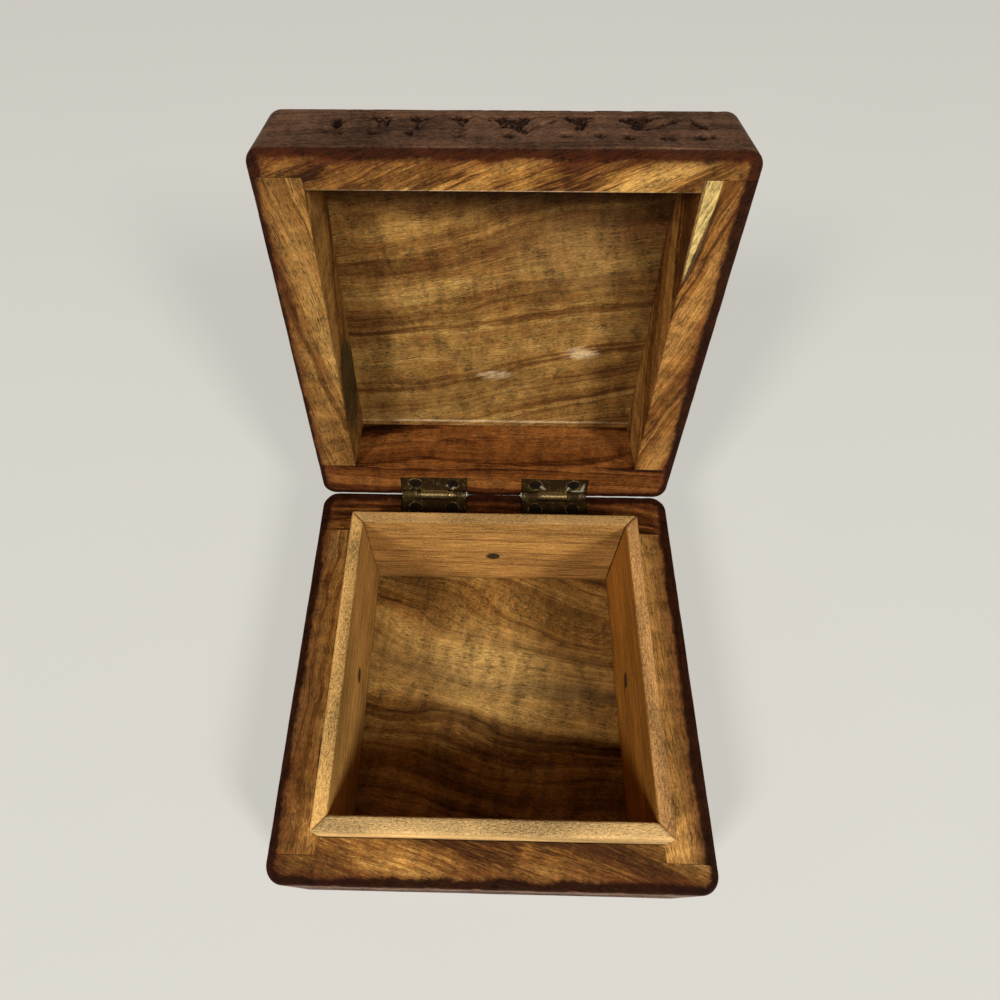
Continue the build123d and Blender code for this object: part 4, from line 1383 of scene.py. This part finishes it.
class KEEPSAKE_OT_hinges(Maker, bpy.types.Operator):
    """Roll the hinge leaves, sink their screw holes and finish their pins"""

    bl_idname = "keepsake.hinges"
    bl_label = "Hinges"

    RUBBED = {"base": 0.35, "lid": 0.45, "pin": 0.6}
    ROLL = (-math.pi / 2, math.radians(197))
    LAP = 0.3

    def execute(self, context):
        for hand, (centre, half) in HINGES.items():
            for body, place in BODIES.items():
                name = f"{hand}_hinge_{body}_leaf"
                mesh = self.leaf(centre, half, body)
                mesh.transform(place)
                glue = GLUE.get((hand, body), ())
                material = aged_brass(f"{name}_brass", place, self.RUBBED[body], (centre, HINGE_Z[body]), glue)
                finished(f"{name}_rolled", mesh, material, body, (name,))
            pin = frame["nodes"][f"{hand}_hinge_pin"]
            pin.material_slots[0].material = aged_brass(f"{hand}_pin_brass", rubbed=self.RUBBED["pin"])
        return {"FINISHED"}

    def leaf(self, centre, half, body):
        """A flat leaf, with its rolled knuckles and its two countersunk holes."""
        barrel, thick, middle, gap = (LEAF[key] for key in ("barrel", "thick", "middle", "gap"))
        neck, corner = barrel + LEAF["notch"], LEAF["corner"]
        y_far, y_near = HINGE_Y - LEAF["depth"], HINGE_Y - neck
        left, right = centre - half, centre + half
        low = HINGE_Z[body] + (-barrel if body == "base" else barrel - thick)
        plan = [
            (left, y_near), (left, y_far + corner), (left + corner, y_far),
            (right - corner, y_far), (right, y_far + corner), (right, y_near),
        ]
        mesh = prism("leaf", plan, [(0, low), (0, low + thick)])
        first, last = self.ROLL
        roll = [(-neck - self.LAP, -barrel), *arc(barrel, first, last, 30)]
        roll += [*arc(LEAF["bore"], last, first, 22), (-neck - self.LAP, thick - barrel)]
        roll = hinge_profile(roll, body)
        spans = [(-half, -middle - gap), (middle + gap, half)] if body == "base" else [(-middle + gap, middle - gap)]
        for start, end in spans:
            mesh = combined(mesh, extruded("knuckle", roll, centre + start, centre + end), "UNION")
        head, shank = SCREW["head"] + FIT, SCREW["shank"] + FIT
        flip = Matrix.Rotation(0 if body == "base" else math.pi, 4, "X")
        for spot in screw_places(centre, low + thick if body == "base" else low):
            tool = turned_solid([(head + 0.5, 0.5), (head, 0), (shank, shank - head), (shank, -2.0)], 32)
            tool.transform(Matrix.Translation(spot * MM) @ flip)
            mesh = combined(mesh, tool)
        edges = {"width": 0.07 * MM, "segments": 2, "limit_method": "ANGLE", "angle_limit": math.radians(50)}
        return smoothed(worked(mesh, "BEVEL", edges), 32)


def fastener_tree(name, sizes, slotted):
    """Countersunk screws or flat-headed nails, one on each point, aimed along it; sizes are the tree's inputs."""
    tree = bpy.data.node_groups.new(name, "GeometryNodeTree")
    for way in ("INPUT", "OUTPUT"):
        tree.interface.new_socket("Geometry", in_out=way, socket_type="NodeSocketGeometry")
    for label, value in sizes.items():
        kind = {float: "Float", int: "Int"}.get(type(value), "Material")
        tree.interface.new_socket(label, in_out="INPUT", socket_type=f"NodeSocket{kind}").default_value = value
    nodes = Nodes(tree)
    given = {socket.name: Wire(nodes, socket) for socket in tree.nodes.new("NodeGroupInput").outputs}
    head, shank, length, thick = (given[label] for label in ("Head Radius", "Shank Radius", "Length", "Head Depth"))

    def raised(shape, height):
        return nodes.add("GeometryNodeTransform", None, {0: shape, "Translation": nodes.vector(z=height)})

    def joined(*shapes):
        together = nodes.add("GeometryNodeJoinGeometry")
        for shape in shapes:
            tree.links.new(shape.socket, together.socket.node.inputs[0])
        return together

    def fused(operation, inputs):
        return nodes.add("GeometryNodeMeshBoolean", {"operation": operation, "solver": "EXACT"}, inputs)

    # The head: a cone under a low dome, with its slot
    ends = {"Radius Top": head, "Radius Bottom": given["Taper"], "Depth": thick}
    cone = nodes.add("GeometryNodeMeshCone", {"fill_type": "NGON"}, {"Vertices": 32, "Side Segments": 1, **ends})
    dome = nodes.add("GeometryNodeMeshUVSphere", None, {"Segments": 32, "Rings": 16, "Radius": head})
    crown = nodes.vector(0.985, 0.985, given["Crown"])
    dome = nodes.add("GeometryNodeTransform", None, {0: dome, "Scale": crown})
    top = fused("UNION", {1: joined(raised(cone, thick * -1.0), dome), "Self Intersection": True})
    if slotted:
        bar = nodes.vector(head * 3.0, given["Slot Width"], given["Slot Depth"] * 2.0)
        slot = nodes.add("GeometryNodeMeshCube", None, {"Size": bar})
        top = fused("DIFFERENCE", {0: top, 1: raised(slot, head * given["Crown"])})

    # The shank, and the whole of it aimed and turned on each point
    ends = {"Radius": shank, "Depth": length}
    rod = nodes.add("GeometryNodeMeshCylinder", {"fill_type": "NGON"}, {"Vertices": 20, "Side Segments": 1, **ends})
    rod = raised(rod, length * -0.5 + thick * -0.5)
    aim = nodes.add("GeometryNodeInputNamedAttribute", {"data_type": "FLOAT_VECTOR"}, {"Name": "aim"})
    toward = nodes.add("FunctionNodeAlignRotationToVector", {"axis": "Z"}, {"Vector": aim})
    chances = {"Min": 0.0, "Max": math.pi, "Seed": given["Seed"]}
    chance = nodes.add("FunctionNodeRandomValue", {"data_type": "FLOAT"}, chances, output=1)
    spin = nodes.add("FunctionNodeAxisAngleToRotation", None, {"Axis": (0, 0, 1), "Angle": chance})
    turned = nodes.add("FunctionNodeRotateRotation", {"rotation_space": "LOCAL"}, {0: toward, 1: spin})
    whole = {"Points": given["Geometry"], "Instance": joined(top, rod), "Rotation": turned}
    real = nodes.add("GeometryNodeRealizeInstances", None, {0: nodes.add("GeometryNodeInstanceOnPoints", None, whole)})
    ended = nodes.add("GeometryNodeSetMaterial", None, {0: real, "Material": given["Finish"]})
    nodes.add("NodeGroupOutput", None, {0: ended})
    return tree


def fasteners(name, spots, tree, values, body, node):
    """Runs a fastener tree over its points and keeps the result as a plain piece."""
    mesh = bpy.data.meshes.new(name)
    mesh.from_pydata([spot[:] for spot, _ in spots], [], [])
    aim = mesh.attributes.new("aim", "FLOAT_VECTOR", "POINT")
    aim.data.foreach_set("vector", [number for _, direction in spots for number in direction])
    labels = {item.name: item.identifier for item in tree.interface.items_tree if item.in_out == "INPUT"}
    inputs = {labels[label]: value for label, value in values.items()}
    result = smoothed(worked(mesh, "NODES", {"node_group": tree}, inputs), 30)
    return finished(name, result, values["Finish"], body, (node,))


class KEEPSAKE_OT_screws(Maker, bpy.types.Operator):
    """Drive the hinge screws into both leaves"""

    bl_idname = "keepsake.screws"
    bl_label = "Hinge Screws"

    SEED = 7

    def execute(self, context):
        head, shank, slot = (SCREW[key] * MM for key in ("head", "shank", "slot"))
        sizes = {
            "Head Radius": head, "Shank Radius": shank, "Length": SCREW["length"] * MM - head + shank,
            "Head Depth": head - shank, "Taper": shank, "Crown": 0.10, "Slot Width": slot, "Slot Depth": slot,
            "Seed": self.SEED, "Finish": None,
        }
        tree = fastener_tree("hinge_screws_tree", sizes, True)
        for seed, (body, place) in enumerate(BODIES.items(), self.SEED):
            face = HINGE_Z[body] + UP[body] * (LEAF["thick"] - LEAF["barrel"] - SCREW["sunk"])
            aim = place.to_3x3() @ Vector((0, 0, UP[body]))
            places = [spot for centre, _ in HINGES.values() for spot in screw_places(centre, face)]
            material = dull_steel(f"{body}_screw_metal", context.scene.keepsake_metal.tarnish, place)
            values = {**sizes, "Seed": seed, "Finish": material}
            spots = [(place @ (spot * MM), aim) for spot in places]
            node = f"{body}_hinge_screws"
            fasteners(f"{node}_slotted", spots, tree, values, body, node)
        return {"FINISHED"}


class KEEPSAKE_OT_nails(Maker, bpy.types.Operator):
    """Drive one nail through each lining strip"""

    bl_idname = "keepsake.nails"
    bl_label = "Lining Nails"

    AIMS = {"front": (0, 1, 0), "right": (-1, 0, 0), "back": (0, -1, 0), "left": (1, 0, 0)}

    def execute(self, context):
        sizes = {
            "Head Radius": NAIL["head"] * MM, "Shank Radius": NAIL["shank"] * MM,
            "Length": (NAIL["length"] - NAIL["thick"] - NAIL["sink"]) * MM, "Head Depth": NAIL["thick"] * MM,
            "Taper": NAIL["head"] * 0.9 * MM, "Crown": 0.12, "Seed": 3, "Finish": None,
        }
        tree = fastener_tree("lining_nails_tree", sizes, False)
        spots = []
        for side, aim in self.AIMS.items():
            low, high = node_box(f"lining_{side}")
            middle, aim = Vector((low + high) / 2), Vector(aim)
            half = min(high[0] - low[0], high[1] - low[1]) / 2
            spot = Vector((middle.x, middle.y, NAIL["height"])) + aim * (half - NAIL["sink"] - NAIL["sunk"])
            spots.append((spot * MM, aim))
        values = {**sizes, "Finish": dull_steel("nail_metal", context.scene.keepsake_metal.iron)}
        fasteners("lining_nails_driven", spots, tree, values, "base", "lining_nails")
        return {"FINISHED"}


class KEEPSAKE_OT_stage(Maker, bpy.types.Operator):
    """Lay the plain floor, hang the soft lamps and set the camera"""

    bl_idname = "keepsake.stage"
    bl_label = "Stage"

    # Where each lamp hangs, its width and height, and its share of the power
    LAMPS = {
        "left_lamp": ((-0.756, -0.885, 1.143), 0.26, 0.46, 1.15),
        "right_lamp": ((0.719, -0.799, 1.016), 0.24, 0.42, 1.0),
    }
    LAMP_AIM = Vector((0, 0.01, 0.05))
    FLOOR_REACH = 3.0
    # The camera as solved from the photograph: its place in metres, its turn in radians and its lens's shift
    CAMERA = ((-0.0022436, -0.0549185, 0.2088571), (0.5693, 0.0067, 0.0215), (0.02516, -0.0283))

    def execute(self, context):
        studio = context.scene.keepsake_studio
        scene = context.scene
        scene.view_settings.view_transform = "Standard"
        floor = bpy.data.objects.new("floor", bpy.data.meshes.new("floor"))
        corners = rectangle(-self.FLOOR_REACH, self.FLOOR_REACH, -self.FLOOR_REACH, self.FLOOR_REACH)
        floor.data.from_pydata([(*corner, 0) for corner in corners], [], [(0, 1, 2, 3)])
        scene.collection.objects.link(floor)
        floor.data.materials.append(self.floor_finish(studio))
        for name, (place, wide, tall, share) in self.LAMPS.items():
            lamp = bpy.data.lights.new(name, "AREA")
            lamp.shape, lamp.size, lamp.size_y, lamp.energy = "RECTANGLE", wide, tall, studio.lamp * share
            holder = bpy.data.objects.new(name, lamp)
            holder.location = place
            holder.rotation_euler = (self.LAMP_AIM - holder.location).to_track_quat("-Z", "Y").to_euler()
            scene.collection.objects.link(holder)
        world = bpy.data.worlds.new("soft_sky")
        world.use_nodes = True
        background = world.node_tree.nodes["Background"]
        background.inputs["Color"].default_value = (1.0, 0.985, 0.96, 1.0)
        background.inputs["Strength"].default_value = studio.sky
        scene.world = world
        lens = bpy.data.cameras.new("camera")
        lens.sensor_width, lens.lens = 36.0, studio.lens
        place, turn, (lens.shift_x, lens.shift_y) = self.CAMERA
        lens.clip_start, lens.clip_end = 0.005, 20.0
        camera = bpy.data.objects.new("camera", lens)
        camera.location, camera.rotation_euler = place, turn
        scene.collection.objects.link(camera)
        scene.camera = camera
        return {"FINISHED"}

    @staticmethod
    def floor_finish(studio):
        finish = Finish("floor_paper")
        cloud = finish.noise(finish.point, 0.012, 3.0)
        colour = finish.shade(tint(studio.floor), 0.97 + cloud * 0.06)
        named = {"Base Color": colour, "Roughness": 0.9, "Specular IOR Level": 0.2}
        paper = finish.add("ShaderNodeBsdfPrincipled", None, named)
        glow = finish.add("ShaderNodeEmission", None, {"Color": tint(studio.floor, studio.lift)})
        seen = finish.add("ShaderNodeLightPath", output="Is Camera Ray")
        lit = finish.add("ShaderNodeMixShader", None, {0: seen * 0.6, 1: paper, 2: glow})
        finish.add("ShaderNodeOutputMaterial", None, {"Surface": lit})
        return finish.material


OPERATORS = (
    KEEPSAKE_OT_base_boards,
    KEEPSAKE_OT_lid_boards,
    KEEPSAKE_OT_panels,
    KEEPSAKE_OT_lining,
    KEEPSAKE_OT_nails,
    KEEPSAKE_OT_hinges,
    KEEPSAKE_OT_screws,
    KEEPSAKE_OT_stage,
)


class KEEPSAKE_PT_bench(bpy.types.Panel):
    """The pieces of the box, each made by its own button"""

    bl_idname = "KEEPSAKE_PT_bench"
    bl_label = "Keepsake Box"
    bl_space_type = "VIEW_3D"
    bl_region_type = "UI"
    bl_category = "Keepsake Box"

    def draw(self, context):
        for name, group in SETTINGS.items():
            box = self.layout.box()
            box.label(text=group.__doc__)
            for key in group.__annotations__:
                box.prop(getattr(context.scene, name), key)
        for operator in OPERATORS:
            self.layout.operator(operator.bl_idname)


def register():
    for kind in (*SETTINGS.values(), *OPERATORS, KEEPSAKE_PT_bench):
        bpy.utils.register_class(kind)
    for name, group in SETTINGS.items():
        setattr(bpy.types.Scene, name, bpy.props.PointerProperty(type=group))


def unregister():
    for name in SETTINGS:
        delattr(bpy.types.Scene, name)
    for kind in reversed((*SETTINGS.values(), *OPERATORS, KEEPSAKE_PT_bench)):
        bpy.utils.unregister_class(kind)


def main():
    """Makes the box from start to finish."""
    register()
    bpy.ops.keepsake.base_boards()
    bpy.ops.keepsake.lid_boards()
    bpy.ops.keepsake.panels()
    bpy.ops.keepsake.lining()
    bpy.ops.keepsake.nails()
    bpy.ops.keepsake.hinges()
    bpy.ops.keepsake.screws()
    bpy.ops.keepsake.stage()


if __name__ == "__main__":
    main()
